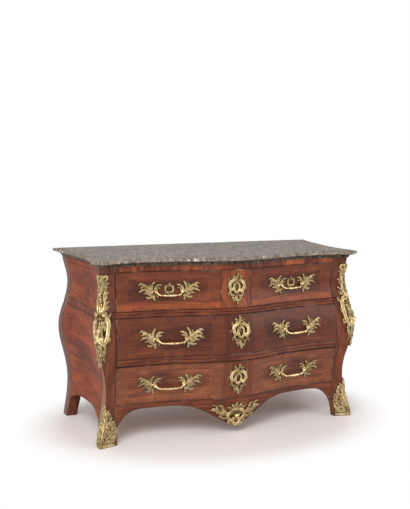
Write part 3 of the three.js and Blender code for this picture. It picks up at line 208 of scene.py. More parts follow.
backdrop = add_node(floor_tree, "ShaderNodeEmission", {"Color": WHITE, "Strength": 1.0})[0]
merged = fed("ShaderNodeMixShader", {0: times(far, floor_seen), 1: floor_shader.outputs[0], 2: backdrop})
fill(floor_tree.nodes["Material Output"], {"Surface": merged[0]})
floor_mesh.materials.append(floor_look)


def soft_lamp(name, place, size, watts, tone):
    """A square area lamp aimed at the middle of the chest."""
    lamp_data = bpy.data.lights.new(name, "AREA")
    lamp_data.size = size
    lamp_data.energy = watts
    lamp_data.color = tone
    lamp = new_object(name, lamp_data)
    lamp.location = place
    lamp.rotation_euler = (LAMP_TARGET - Vector(place)).to_track_quat("-Z", "Y").to_euler()


soft_lamp("key_lamp", place=(-2.4, -2.8, 3.2), size=2.2, watts=120, tone=(1, 0.98, 0.95))
soft_lamp("fill_lamp", place=(3.0, -2.6, 2.0), size=2.0, watts=24, tone=(1, 1, 1))

# The veneered case
# Softwood stiles, panels, rails and an apron, bent and joined, each faced with kingwood leaves
# under a wax polish. The fine copies keep the solids' square edges and round their curves.
KINGWOOD = ((0.075, 0.015, 0.007, 1), (0.155, 0.036, 0.014, 1), (0.27, 0.077, 0.026, 1))
BARE_WOOD = (0.62, 0.42, 0.3, 1)
ARRIS_HIGHLIGHT_AND_WEAR = (0.6, 0.28, 0.13, 1)
BORDER_WOOD = (0.15, 0.036, 0.014, 1)
GRIME = (0.03, 0.012, 0.007, 1)
BEAD_GROOVE_SHADE = (0.88, 0.86, 0.86, 1)
FIELD_EDGE_DARKENING = (0.42, 0.38, 0.38, 1)
POOL_SHADE = (0.64, 0.6, 0.6, 1)
FLANK_TINT = (1.35, 1.45, 1.6, 1)
LEAF_TINT = (1.5, 1.35, 1.1, 1)
LEAF_JOINT = (0.6, 0.55, 0.55, 1)
PALE_TINT = (2.4, 2.5, 2.2, 1)
GLOW_TINT = (1.75, 1.75, 1.4, 1)
STRIP_TINT = (1.8, 1.75, 1.6, 1)
SOCKET_KINDS = {"Color": "Color", "Dark": "Color", "Middle": "Color", "Light": "Color", "Position": "Vector"}
WELD_GAP = 0.00002
FLAT_ANGLE = math.radians(14)
RIM_ANGLE = math.radians(20)
BEVEL_ANGLE = math.radians(50)
SHARP_ANGLE = math.radians(52)
EDGE_ROUNDING = 0.0011
RIM_REACH = 0.03
GROOVE_HALF_HEIGHT = 0.0045
GROOVE_DEPTH = 0.0032
STRING_HALF_SHARE = 0.035
case_low, case_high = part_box("side_panel_right")
bead_foot, bead_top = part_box("drawer_middle_front")[1].z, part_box("drawer_top_left_front")[0].z
bead_levels = (bead_foot, (bead_foot + bead_top) / 2, bead_top)
rail_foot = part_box("drawer_top_left_front")[1].z
members = frame["record"]["behaviour"]["bodies"]
body_of = {node: body for body, listed in members.items() for node in listed}
slot_of = {entry["node"]: entry["material_slot"] for entry in frame["record"]["subparts"]}


def finished(name, mesh, modifiers):
    """The mesh of an object once its modifiers have worked on it."""
    maker = new_object(name, mesh)
    for label, kind, settings in modifiers:
        modifier = maker.modifiers.new(label, kind)
        for setting, value in settings.items():
            setattr(modifier, setting, value)
    fine = bpy.data.meshes.new_from_object(maker.evaluated_get(bpy.context.evaluated_depsgraph_get()))
    bpy.data.objects.remove(maker)
    return fine


def mark_rim(mesh):
    """Writes each point's distance from the nearest square edge, as the value rim."""
    work = bmesh.new()
    work.from_mesh(mesh)
    on_edge = {v for e in work.edges if e.calc_face_angle(0) > RIM_ANGLE for v in e.verts}
    tree = KDTree(len(on_edge))
    for i, vertex in enumerate(on_edge):
        tree.insert(vertex.co, i)
    tree.balance()
    gaps = [min(tree.find(v.co)[2] if on_edge else RIM_REACH, RIM_REACH) for v in work.verts]
    work.free()
    mesh.attributes.new("rim", "FLOAT", "POINT").data.foreach_set("value", gaps)


def cut_grooves(mesh, side):
    """Scratches the double bead into the outer faces of one side of the case."""
    work = bmesh.new()
    work.from_mesh(mesh)
    for level in bead_levels:
        for share in (-1, -0.5, 0, 0.5, 1):
            everything = work.verts[:] + work.edges[:] + work.faces[:]
            bmesh.ops.bisect_plane(work, geom=everything, dist=0.00001, plane_no=(0, 0, 1),
                                   plane_co=(0, 0, level + share * GROOVE_HALF_HEIGHT))
    work.normal_update()
    moves = []
    for v in work.verts:
        near = min(abs(v.co.z - level) for level in bead_levels) / GROOVE_HALF_HEIGHT
        outward = max(v.normal.x * side, -v.normal.y)
        if near < 0.99 and outward > 0.4:
            flat = Vector((v.normal.x, v.normal.y, 0)).normalized()
            moves.append((v, flat * -GROOVE_DEPTH * (1 - near) ** 0.7))
    for v, move in moves:
        v.co += move
    work.to_mesh(mesh)
    work.free()


def fine_copy(node, material, rounding=EDGE_ROUNDING, bead_side=None):
    """A fine copy of a solid that stands for it. A bead side of 1 or -1 scratches the double bead."""
    work = bmesh.new()
    work.from_mesh(frame["nodes"][node].data)
    bmesh.ops.remove_doubles(work, verts=work.verts, dist=WELD_GAP)
    bmesh.ops.join_triangles(work, faces=work.faces, angle_face_threshold=FLAT_ANGLE,
                             angle_shape_threshold=math.pi)
    crease = work.edges.layers.float.new("crease_edge")
    for rib in work.edges:
        rib[crease] = float(rib.calc_face_angle(0) > SHARP_ANGLE)
    mesh = bpy.data.meshes.new(node)
    work.to_mesh(mesh)
    work.free()
    fine = finished(node, mesh, [
        ("curves", "SUBSURF", {"levels": 2, "render_levels": 2}),
        ("eased edges", "BEVEL", {"width": rounding, "segments": 2, "limit_method": "ANGLE",
                                  "angle_limit": BEVEL_ANGLE}),
    ])
    if bead_side:
        cut_grooves(fine, bead_side)
    fine.polygons.foreach_set("use_smooth", [True] * len(fine.polygons))
    mark_rim(fine)
    fine.materials.clear()
    fine.materials.append(material)
    return stand_in("fine_" + node, fine, node)


def stand_in(name, mesh, node):
    """An object that stands for a node, moves with its body and has its finish."""
    piece = new_object(name, mesh)
    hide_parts(node)
    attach(piece, body_of[node])
    return piece


def new_group(name, inputs, outputs):
    """An empty shader node group, its inputs and its end. Sockets not in SOCKET_KINDS hold numbers."""
    group = bpy.data.node_groups.new(name, "ShaderNodeTree")
    for way, labels in (("INPUT", inputs), ("OUTPUT", outputs)):
        for label in labels:
            kind = "NodeSocket" + SOCKET_KINDS.get(label, "Float")
            group.interface.new_socket(label, in_out=way, socket_type=kind)
    return group, group.nodes.new("NodeGroupInput").outputs, group.nodes.new("NodeGroupOutput")


def placed(group, *values):
    """The outputs of a group that is fed with values, in the order of its inputs."""
    return fed("ShaderNodeGroup", dict(enumerate(values)), node_tree=group)


def stretched_noise(along, depth, over, scales, detail, distortion=0.0):
    """Noise drawn out along the first direction."""
    place = fed("ShaderNodeCombineXYZ", {0: along, 1: depth, 2: over})[0]
    return noise(scaled(place, scales), 1.0, detail, distortion, 0.6)


def dyed(colour, tint):
    """A colour multiplied by a tint."""
    return blend_colour(1.0, colour, tint, "MULTIPLY")


def tinted(colour, factor, tint):
    """A colour multiplied by a tint where the factor is one."""
    return blend_colour(factor, colour, dyed(colour, tint))


# The grain: broad figure, streaks, fibres and pores, each finer than the one before.
grain, given, grain_end = new_group(
    "wood_grain", ("Along", "Depth", "Over", "Dark", "Middle", "Light", "Stretch", "Smooth"),
    ("Color", "Roughness", "Height"))
sources = (ratio(given["Along"], given["Stretch"]), given["Depth"], given["Over"])
figure = stretched_noise(*sources, (3.2, 5, 13), 5, 1.3)
streaks = stretched_noise(*sources, (7, 12, 95), 4, 0.4)
fibres = stretched_noise(*sources, (9, 60, 430), 3)
pores = stretched_noise(*sources, (60, 200, 1500), 2)
tone = plus(times(figure, 0.68), times(streaks, 0.32))
leaf_colour = blend_colour(stepped(tone, 0.36, 0.52), given["Dark"], given["Middle"])
leaf_colour = blend_colour(stepped(tone, 0.5, 0.66), leaf_colour, given["Light"])
pore_shade = times(stepped(pores, 0.3, 0.6, 0.78, 1.05), stepped(fibres, 0.34, 0.66, 0.74, 1.22))
pore_colour = fed("ShaderNodeCombineColor", dict.fromkeys(range(3), pore_shade))[0]
fill(grain_end, {
    "Color": dyed(leaf_colour, pore_colour),
    "Roughness": linear(streaks, 0.2, given["Smooth"]),
    "Height": linear(pores, 0.4, streaks),
})

# Worn edges: bare wood in patches along the square edges, and grime in a wider band beside them.
wear, given, wear_end = new_group("worn_edge", ("Color", "Rim", "Position", "Amount"), ("Color",))
rubbed = stepped(noise(given["Position"], 17.0, 4.0), 0.5, 0.68)
worn = times(times(fading(given["Rim"], 0.0004, 0.005), rubbed), given["Amount"])
soiled = blend_colour(fading(given["Rim"], 0.001, 0.012, 0.35), given["Color"], GRIME)
fill(wear_end, {"Color": blend_colour(worn, soiled, BARE_WOOD)})

# Painted shade in the grooves of the double bead: a dark line at each bead level.
groove_shade, given, groove_shade_end = new_group("bead_groove_shade", ("Color", "Height"), ("Color",))
shaded_grooves = given["Color"]
for level in bead_levels:
    off_line = absolute(minus(given["Height"], level))
    shaded_grooves = tinted(shaded_grooves, fading(off_line, 0.0006, 0.003), BEAD_GROOVE_SHADE)
fill(groove_shade_end, {"Color": shaded_grooves})

# The cross-banded border of a field: masks of the band, of the leaves that stand upright, of the
# strip before the field's start, of the thin string, and of a darker band round the whole.
border, given, border_end = new_group(
    "veneer_border", ("Off", "Height", "Start", "End", "Foot", "Top", "Side", "Level"),
    ("Band", "Upright", "Strip", "String", "Joint"))
side_gap = least(minus(given["Off"], given["Start"]), minus(given["End"], given["Off"]))
level_gap = least(minus(given["Height"], given["Foot"]), minus(given["Top"], given["Height"]))
side_share = ratio(side_gap, given["Side"])
level_share = ratio(level_gap, given["Level"])
gap = least(side_share, level_share)
band = below(gap, 1.0)
strip = below(given["Off"], given["Start"])
string = below(absolute(minus(gap, 1.0)), STRING_HALF_SHARE)
fill(border_end, {
    "Band": band,
    "Upright": most(times(band, below(level_share, side_share)), strip),
    "Strip": strip,
    "String": times(string, minus(1.0, strip)),
    "Joint": fading(least(side_gap, absolute(level_gap)), 0.0008, 0.0042),
})


def polished(name, coat, coat_roughness, gloss=0.24):
    """A polished material, with its shader, place and the three parts of its place."""
    look = bpy.data.materials.new(name)
    look.use_nodes = True
    shader = look.node_tree.nodes["Principled BSDF"]
    fill(shader, {"Coat Weight": coat, "Coat Roughness": coat_roughness, "Specular IOR Level": gloss})
    place = add_node(look.node_tree, "ShaderNodeTexCoord")["Object"]
    return look, shader, place, fed("ShaderNodeSeparateXYZ", {0: place})


def facing_of(look):
    """The three parts of the surface's normal."""
    return fed("ShaderNodeSeparateXYZ", {0: add_node(look.node_tree, "ShaderNodeNewGeometry")["Normal"]})


def dress(shader, colour, roughness, height, strength, distance):
    """Gives a shader its colour and roughness, and a fine relief from a height."""
    relief = {"Height": height, "Strength": strength, "Distance": distance}
    fill(shader, {"Base Color": colour, "Roughness": roughness, "Normal": fed("ShaderNodeBump", relief)[0]})


def grained(along, depth, over, wood=KINGWOOD, stretch=1.0, smooth=0.3):
    """The grain of a wood of three colours."""
    return placed(grain, along, depth, over, *wood, stretch, smooth)


def finish_wood(shader, place, colour, leaf, amount):
    """Edge wear, gloss and the feel of the grain on a wood material."""
    rim = add_node(shader.id_data, "ShaderNodeAttribute", attribute_name="rim")["Fac"]
    colour = placed(wear, colour, rim, place, amount)["Color"]
    dress(shader, colour, leaf["Roughness"], leaf["Height"], 0.25, 0.0006)


def plain_veneer(name, upright, amount=0.2, tint=WHITE, corner_foot=0.0):
    """Kingwood with one grain direction. A stile is paler on the flank, has a painted highlight with some wear low
    on its arris, and has painted shade in its bead grooves.
    """
    look, shader, place, axes = polished(name, 0.1, 0.22)
    level = plus(axes["X"], axes["Y"])
    along, over = (axes["Z"], level) if upright else (level, axes["Z"])
    leaf = grained(along, times(axes["Y"], 0.6), over)
    colour = dyed(leaf["Color"], tint)
    if corner_foot:
        facing = facing_of(look)
        turn = minus(absolute(facing["X"]), absolute(facing["Y"]))
        colour = tinted(colour, stepped(turn, 0.1, 0.5), FLANK_TINT)
        # A painted highlight with some wear, low down on the rounded arris between front and flank.
        arris = fading(absolute(turn), 0.1, 0.42)
        low_down = fading(axes["Z"], corner_foot, corner_foot + 0.06)
        colour = blend_colour(times(times(arris, low_down), 0.8), colour, ARRIS_HIGHLIGHT_AND_WEAR)
        # Painted shade in the bead grooves.
        colour = placed(groove_shade, colour, axes["Z"])["Color"]
    finish_wood(shader, place, colour, leaf, amount)
    return look


def chance_of(share):
    """A steady chance value for each whole part of a share."""
    return fed("ShaderNodeTexWhiteNoise", {"W": calculate("FLOOR", share)}, noise_dimensions="1D")["Value"]


def cross_banded(name, leaf_width, pale_spans, amount=0.3):
    """Short upright leaves side by side, with some spans paler than the rest."""
    look, shader, place, axes = polished(name, 0.1, 0.22)
    level = minus(axes["X"], axes["Y"])
    leaf_share = ratio(level, leaf_width)
    chance = chance_of(leaf_share)
    leaf = grained(axes["Z"], times(chance, 7.0), level)
    colour = tinted(leaf["Color"], times(chance, 0.5), LEAF_TINT)
    for start, end, strength in pale_spans:
        inside = times(above(axes["X"], start), below(axes["X"], end))
        colour = tinted(colour, times(inside, strength), PALE_TINT)
    colour = tinted(colour, below(calculate("FRACT", leaf_share), 0.02), LEAF_JOINT)
    finish_wood(shader, place, colour, leaf, amount)
    return look


def framed_veneer(name, axis, rows, start, end, bands, pool, folded=True, low_glow=0.0,
                  string_strength=0.035, amount=0.25, gloss=0.24, tint=WHITE, coat=0.1):
    """A level-grained field in a cross-banded frame, with a darker pool of figure in its middle.

    Each row is a pair of heights. A folded field is mirrored about the chest's middle and has an
    upright strip there. The other kind crosses the double bead."""
    look, shader, place, axes = polished(name, coat, 0.2, gloss)
    height = axes["Z"]
    off = absolute(axes[axis]) if folded else axes[axis]
    spans = [(foot, top, (foot + top) / 2) for foot, top in rows]
    low, high, middle = spans[0]
    for before, after in zip(spans, spans[1:]):
        upper = above(height, (before[1] + after[0]) / 2)
        low, high, middle = (blend_value(upper, *pair) for pair in zip((low, high, middle), after))
    marks = placed(border, off, height, start, end, low, high, *bands)
    along = blend_value(marks["Upright"], off, height)
    over = blend_value(marks["Upright"], height, off)
    leaf = grained(along, linear(marks["Band"], 0.7, times(marks["Strip"], 1.9)), over)
    colour = dyed(blend_colour(times(marks["Band"], 0.5), leaf["Color"], BORDER_WOOD), tint)
    pool_off, pool_reach, pool_rise = pool
    wide = ratio(minus(off, pool_off), pool_reach)
    tall = ratio(minus(height, middle), pool_rise)
    wobble = linear(stretched_noise(off, 0.0, height, (9, 1, 16), 3), 2.0, -1.0)
    spread = plus(plus(times(wide, wide), times(tall, tall)), wobble)
    shade = times(fading(spread, 0.2, 1.4), minus(1.0, marks["Strip"]))
    colour = tinted(colour, shade, POOL_SHADE)
    glow = fading(minus(height, low), bands[1] * 0.9, bands[1] * 1.6, low_glow)
    colour = tinted(colour, glow, GLOW_TINT)
    colour = blend_colour(times(marks["String"], string_strength), colour, BARE_WOOD)
    if folded:
        colour = tinted(colour, marks["Strip"], STRIP_TINT)
        seam = times(below(absolute(minus(off, start)), 0.0016), 0.12)
        colour = blend_colour(seam, colour, BARE_WOOD)
        rub = stepped(stretched_noise(height, 0.0, off, (22, 1, 4), 3), 0.42, 0.55)
        rub = times(rub, below(minus(end, off), 0.0034))
        colour = blend_colour(times(rub, 0.6), colour, BARE_WOOD)
    # Darker along the edges of the field.
    colour = tinted(colour, marks["Joint"], FIELD_EDGE_DARKENING)
    # Painted shade in the bead grooves of the side panels.
    if not folded:
        colour = placed(groove_shade, colour, height)["Color"]
    finish_wood(shader, place, colour, leaf, amount)
    return look


PALE_FRIEZE_SPANS = [(-0.297, -0.079, 0.3), (0.305, 0.409, 0.9), (0.505, 0.59, 0.8), (-0.56, -0.48, 0.3)]
STILE_ARRIS_HIGHLIGHT_HEIGHT = 0.36
FRIEZE_LEAF_WIDTH = 0.062
SIDE_FIELD_FOOT = 0.06
SIDE_OVERRUN = 0.01

stile_look = plain_veneer("stile_veneer", upright=True, corner_foot=STILE_ARRIS_HIGHLIGHT_HEIGHT)
rear_look = plain_veneer("rear_stile_veneer", upright=True, amount=0.3)
rail_look = plain_veneer("rail_veneer", upright=False, amount=0.35, tint=(1.15, 1.1, 1.05, 1))
side_look = framed_veneer(
    "side_veneer", "Y", [(SIDE_FIELD_FOOT, bead_foot), (bead_top, rail_foot)],
    case_low.y - SIDE_OVERRUN, case_high.y + SIDE_OVERRUN, bands=(0.03, 0.02),
    pool=((case_low.y + case_high.y) / 2, 0.14, 0.09), folded=False,
    string_strength=0.03, amount=0.15, gloss=0.06, tint=(1.9, 1.45, 0.95, 1), coat=0.03)
case_looks = {
    "front_stile_left": stile_look,
    "front_stile_right": stile_look,
    "rear_stile_left": rear_look,
    "rear_stile_right": rear_look,
    "side_panel_left": side_look,
    "side_panel_right": side_look,
    "top_front_rail": cross_banded("frieze_veneer", FRIEZE_LEAF_WIDTH, PALE_FRIEZE_SPANS),
    "upper_rail": rail_look,
    "lower_rail": rail_look,
    "apron": plain_veneer("apron_veneer", upright=False),
}
case_pieces = {}
for node, look in case_looks.items():
    bead_side = None
    if "stile" in node or "side" in node:
        bead_side = 1 if node.endswith("right") else -1
    case_pieces[node] = fine_copy(node, look, bead_side=bead_side)

# The drawer fronts and the fixed panel
# Bowed pine fronts, each veneered as two mirrored fields of dark kingwood in cross-banded
# frames, with an upright strip down the chest's middle. The panel between the top drawers is fixed.
FRONT_BANDS = (0.057, 0.024)
FRONT_POOL = (0.335, 0.2, 0.06)


def drawer_veneer(node, end_node, low_glow, tint):
    """The veneer of a front, from the fixed panel's edge out to the end of a node."""
    low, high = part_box(node)
    start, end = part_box("centre_post")[1].x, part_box(end_node)[1].x
    return framed_veneer(node + "_veneer", "X", [(low.z, high.z)], start, end, FRONT_BANDS, FRONT_POOL,
                         low_glow=low_glow, tint=(*tint, 1))


top_look = drawer_veneer("drawer_top_left_front", "drawer_top_right_front", 1.0, (1.05, 1.0, 0.95))
middle_look = drawer_veneer("drawer_middle_front", "drawer_middle_front", 0.25, (0.85, 0.82, 0.8))
# The bottom front's paler, greyer tint stands for dust and is also a painted reflection of the floor.
bottom_look = drawer_veneer("drawer_bottom_front", "drawer_middle_front", 0.1, (1.5, 1.85, 2.1))
front_looks = {
    "drawer_top_left_front": top_look,
    "drawer_top_right_front": top_look,
    "drawer_middle_front": middle_look,
    "drawer_bottom_front": bottom_look,
    "centre_post": plain_veneer("post_veneer", upright=True, amount=0.8, tint=(1.6, 1.6, 1.4, 1)),
}
front_pieces = {node: fine_copy(node, look) for node, look in front_looks.items()}

# The oak carcase and the drawer boxes
# Plain sawn oak boards for the back, the dust boards with their glued runners, the partition
# and the drawers' sides, backs and bottoms. They are waxed a little and have darkened with age.
OAK = ((0.16, 0.085, 0.038, 1), (0.3, 0.175, 0.085, 1), (0.42, 0.265, 0.14, 1))
PLANK_TINT = (0.72, 0.7, 0.66, 1)
PLANK_JOINT = (0.2, 0.17, 0.15, 1)


def oak(name, along, depth, over, plank=0.0):
    """Oak with its grain along one axis and, where a plank width is given, plank joints."""
    look, shader, _, axes = polished(name, 0.0, 0.5)
    leaf = grained(axes[along], axes[depth], axes[over], OAK, stretch=2.2, smooth=0.55)
    colour = leaf["Color"]
    if plank:
        share = ratio(axes[over], plank)
        colour = tinted(colour, chance_of(share), PLANK_TINT)
        colour = tinted(colour, below(calculate("FRACT", share), 0.014), PLANK_JOINT)
    dress(shader, colour, leaf["Roughness"], leaf["Height"], 0.4, 0.0008)
    return look


oak_looks = {
    "box": oak("drawer_oak", "Y", "X", "Z"),
    "bottom": oak("drawer_bottom_oak", "Y", "Z", "X", plank=0.19),
    "board": oak("board_oak", "X", "Z", "Y"),
    "panel": oak("back_oak", "X", "Y", "Z", plank=0.165),
}
for node, slot in slot_of.items():
    if slot == "oak":
        board = frame["nodes"][node]
        board.data.materials.clear()
        board.data.materials.append(oak_looks.get(node.split("_")[-1], oak_looks["board"]))

# The marble top
# One slab of grey, pale-veined marble, its edge worked to a lip over a hollow, with beaked
# corners. It lies on the case by its own weight.
MARBLE_GREY = (0.13, 0.1, 0.078, 1)
MARBLE_PALE = (0.37, 0.3, 0.24, 1)
MARBLE_DARK = (0.036, 0.027, 0.02, 1)
MARBLE_SPECK = (0.72, 0.67, 0.6, 1)
HOLLOW_SHADE = (0.5, 0.46, 0.42, 1)
LIP_HEIGHT = 0.0165
MARBLE_ROUNDING = 0.0012


def marble():
    """A fine mottle under clouds, with veins, threads, flecks and specks, palest on the lip, where a highlight is
    painted.
    """
    look, shader, place, axes = polished("grey_marble", 0.0, 0.2, 0.12)

    def thin_line(scale, detail, distortion, width, strength):
        return fading(absolute(minus(noise(place, scale, detail, distortion), 0.5)), 0.0, width, strength)

    mottle = stepped(noise(place, 38.0, 8.0, 1.6), 0.44, 0.57)
    clouds = stepped(noise(place, 7.0, 6.0, 0.8), 0.36, 0.66)
    colour = blend_colour(mottle, MARBLE_DARK, MARBLE_PALE)
    colour = blend_colour(0.3, colour, blend_colour(clouds, MARBLE_DARK, MARBLE_GREY))
    colour = blend_colour(thin_line(5.5, 5.0, 2.2, 0.014, 0.5), colour, MARBLE_PALE)
    flecks = stepped(noise(place, 170.0, 4.0, 0.6), 0.56, 0.7, 0.0, 0.4)
    colour = blend_colour(flecks, colour, MARBLE_SPECK)
    colour = blend_colour(thin_line(14.0, 4.0, 2.8, 0.009, 0.45), colour, MARBLE_SPECK)
    specks = stepped(noise(place, 48.0, 3.0), 0.6, 0.68)
    lip_foot = cad_bounds[1].z - LIP_HEIGHT
    on_lip = stepped(axes["Z"], lip_foot - 0.001, lip_foot + 0.003)
    lip = times(on_lip, below(facing_of(look)["Z"], 0.8))
    # A painted highlight makes the lip paler, and the specks show more strongly there.
    colour = blend_colour(times(lip, 0.3), colour, MARBLE_PALE)
    colour = blend_colour(times(specks, linear(lip, 0.65, 0.3)), colour, MARBLE_SPECK)
    colour = tinted(colour, fading(axes["Z"], lip_foot - 0.006, lip_foot), HOLLOW_SHADE)
    dress(shader, colour, linear(mottle, 0.12, 0.42), mottle, 0.12, 0.0004)
    return look


fine_copy("marble_top", marble(), rounding=MARBLE_ROUNDING)

# The drawer handles
# Each has two cast leaf plates pinned to the front, a stud on each plate, and a bail that hangs
# between the studs and swings up. All are brass, chased and gilt.
GILT_BRIGHT = (1.0, 0.79, 0.43, 1)
GILT_WORN = (0.52, 0.36, 0.16, 1)
GILT_HOLLOW_PATINA_AND_SHADE = (0.09, 0.045, 0.014, 1)
CAST_SINK = 0.0016
CAST_STATIONS = 26
RAY_START = 2
LIFT_COUNT = 30
LIFT_STEP = 0.002
SCROLL = "scroll"
LEAF_ACROSS = (-1, -0.76, -0.48, -0.2, 0, 0.2, 0.48, 0.76, 1)
LEAF_HEIGHTS = (0.1, 0.55, 0.9, 0.5, 1.0, 0.5, 0.9, 0.55, 0.1)
SCROLL_ACROSS = (-1, -0.82, -0.5, 0, 0.5, 0.82, 1)
SCROLL_HEIGHTS = (0.15, 0.8, 1, 0.62, 1, 0.8, 0.15)
LEAF_TAPER = ((0, 0.15, 0.45, 0.78, 0.93, 1), (0.5, 0.85, 1, 0.8, 0.45, 0.08))
SCROLL_TAPER = ((0, 0.1, 0.5, 0.85, 1), (0.7, 0.95, 1, 0.8, 0.75))
CREST = ((0, 0.3, 0.6, 0.86, 1), (0.6, 0.9, 0.82, 1, 0.7))
TOOTH_DEPTH = 0.38
RIPPLE_DEPTH = 0.4
FOOT_SHARE = 0.9
BOSS_PROFILE = [(1, 0.3), (0.8, 0.75), (0.45, 0.95), (0.1, 1)]
BOSS_SIDES = 10


def gilding():
    """Gilt brass, worn in patches, with a painted highlight where the relief is raised and patina with painted
    shade in the hollows.
    """
    look, shader, place, _ = polished("gilt_brass", 0.0, 0.3)
    relief = add_node(look.node_tree, "ShaderNodeAttribute", attribute_name="relief")["Fac"]
    patch = noise(place, 60.0, 4.0)
    colour = blend_colour(stepped(patch, 0.4, 0.64), GILT_BRIGHT, GILT_WORN)
    # Painted light from the relief value: a painted highlight on the raised parts, patina and painted shade in the
    # hollows.
    colour = blend_colour(stepped(relief, 0.3, 0.86), GILT_HOLLOW_PATINA_AND_SHADE, colour)
    fill(shader, {"Metallic": 1.0})
    dress(shader, colour, linear(patch, 0.15, stepped(relief, 0.2, 0.9, 0.6, 0.26)), patch, 0.2, 0.0006)
    return look


gilt_look = gilding()


def curve_points(points, count):
    """Points on a smooth line through the given ones."""
    points = np.array(points, float)
    held = np.vstack([2 * points[0] - points[1], points, 2 * points[-1] - points[-2]])
    share = np.linspace(0, len(points) - 1, count)
    i = np.minimum(share.astype(int), len(points) - 2)
    s = (share - i)[:, None]
    a, b, c, d = held[i], held[i + 1], held[i + 2], held[i + 3]
    return b + s * (c - a) / 2 + s**2 * (a - 2.5 * b + 2 * c - d / 2) + s**3 * (1.5 * (b - c) + (d - a) / 2)


def ring_faces(rings, size):
    """Faces between rings of points, with a cap at each end."""
    faces = [
        (r * size + i, r * size + (i + 1) % size, (r + 1) * size + (i + 1) % size, (r + 1) * size + i)
        for r in range(rings - 1) for i in range(size)
    ]
    return faces + [tuple(reversed(range(size))), tuple((rings - 1) * size + i for i in range(size))]


def strip_of(path, width, reach, rise, lobes):
    """One cast leaf, plain strip or scroll on its flat seat: points, faces and each point's relief, which
    sets its patina and painted light. Its path and half width are in percent of a reach."""
    scroll = lobes == SCROLL
    line = curve_points(np.array(path) / 100, CAST_STATIONS) * reach
    heading = np.gradient(line, axis=0)
    heading /= np.linalg.norm(heading, axis=1)[:, None]
    share = np.linspace(0, 1, CAST_STATIONS)
    across = np.array(SCROLL_ACROSS if scroll else LEAF_ACROSS)
    heights = np.array(SCROLL_HEIGHTS if scroll else LEAF_HEIGHTS)
    half = width / 100 * reach * np.interp(share, *(SCROLL_TAPER if scroll else LEAF_TAPER))
    crest = np.interp(share, *CREST)
    tooth = np.ones(CAST_STATIONS)
    if lobes and not scroll:
        tooth = ((share * lobes) % 1) ** 1.2
        half = half * (1 - TOOTH_DEPTH + TOOTH_DEPTH * tooth)
    points, patina_and_light = [], []
    # Lower castings get less painted highlight.
    shine = min(1, 0.35 + 0.75 * rise / PLATE_RISE)
    for i in range(CAST_STATIONS):
        side = np.array((-heading[i][1], heading[i][0]))
        ripple = 1 - RIPPLE_DEPTH * np.abs(across) * (1 - tooth[i])
        for t, level in zip(across, heights * ripple * crest[i]):
            points.append((*(line[i] + side * half[i] * t), level * rise))
            patina_and_light.append(level * shine)
        for t in (FOOT_SHARE, -FOOT_SHARE):
            points.append((*(line[i] + side * half[i] * t), -CAST_SINK))
            patina_and_light.append(0)
    return points, ring_faces(CAST_STATIONS, len(across) + 2), patina_and_light


def stud_of(a, b, profile, sides):
    """A turned stud: its profile is pairs of radius and height."""
    points, patina_and_light = [], []
    top = profile[-1][1]
    for radius, height in profile:
        for i in range(sides):
            angle = 2 * math.pi * i / sides
            points.append((a + radius * math.cos(angle), b + radius * math.sin(angle), height))
            # Painted highlight on the top of the stud, patina and painted shade low down.
            patina_and_light.append(0.25 + 0.75 * max(height, 0) / top)
    return points, ring_faces(len(profile), sides), patina_and_light


def surface_of(*pieces):
    """A ray target of some pieces' meshes."""
    points, faces = [], []
    for piece in pieces:
        start = len(points)
        points += [v.co.copy() for v in piece.data.vertices]
        faces += [[start + i for i in polygon.vertices] for polygon in piece.data.polygons]
    return BVHTree.FromPolygons(points, faces)


def on_front(tree, x0, z0, mirror=1):
    """Lays a across, b up and h out from a front face, about a middle point."""
    def lay(a, b, h):
        x = x0 + mirror * a
        for lift in range(LIFT_COUNT):
            for sign in (1, -1):
                start = Vector((x, -RAY_START, z0 + b + sign * lift * LIFT_STEP))
                met, normal, _, _ = tree.ray_cast(start, Vector((0, 1, 0)))
                if met:
                    return Vector((met.x, met.y, z0 + b)) + normal * h
        raise ValueError("no face behind the casting")
    return lay


def casting(name, parts, lay, node):
    """A gilt casting laid on its seat, standing for its solid."""
    points, faces, patina_and_light = [], [], []
    for part_points, part_faces, part_patina_and_light in parts:
        start = len(points)
        points += [lay(*point) for point in part_points]
        faces += [[start + i for i in face] for face in part_faces]
        patina_and_light += part_patina_and_light
    return cast_piece(name, points, faces, patina_and_light, node)


def cast_piece(name, points, faces, patina_and_light, node):
    """A gilt piece from its mesh and each point's value of patina and painted light, standing for its solid."""
    mesh = bpy.data.meshes.new(name)
    mesh.from_pydata(points, [], faces)
    work = bmesh.new()
    work.from_mesh(mesh)
    bmesh.ops.recalc_face_normals(work, faces=work.faces)
    work.to_mesh(mesh)
    work.free()
    mesh.polygons.foreach_set("use_smooth", [True] * len(mesh.polygons))
    # The relief value carries each point's patina and painted light.
    mesh.attributes.new("relief", "FLOAT", "POINT").data.foreach_set("value", [float(v) for v in patina_and_light])
    mesh.materials.append(gilt_look)
    return stand_in(name, mesh, node)


def leaves(table, reach, rise, boss_table=()):
    """Parts from rows of a path and half width in percent of the casting's reach, a height in percent
    of its rise, and a number of lobes, which is 0 on a plain strip, or SCROLL. Round bosses come from
    rows of a place and radius in percent of the reach, and a height in percent of the rise."""
    parts = [strip_of(path, width, reach, rise * height / 100, lobes)
             for path, width, height, lobes in table]
    for a, b, size, height in boss_table:
        radius, top = size / 100 * reach, height / 100 * rise
        profile = [(radius, -CAST_SINK)] + [(radius * across, top * level) for across, level in BOSS_PROFILE]
        parts.append(stud_of(a / 100 * reach, b / 100 * reach, profile, BOSS_SIDES))
    return parts


def both_ways(path, width, height, lobes):
    """A row of such a table and its mirror image."""
    return (path, width, height, lobes), ([(-a, b) for a, b in path], width, height, lobes)


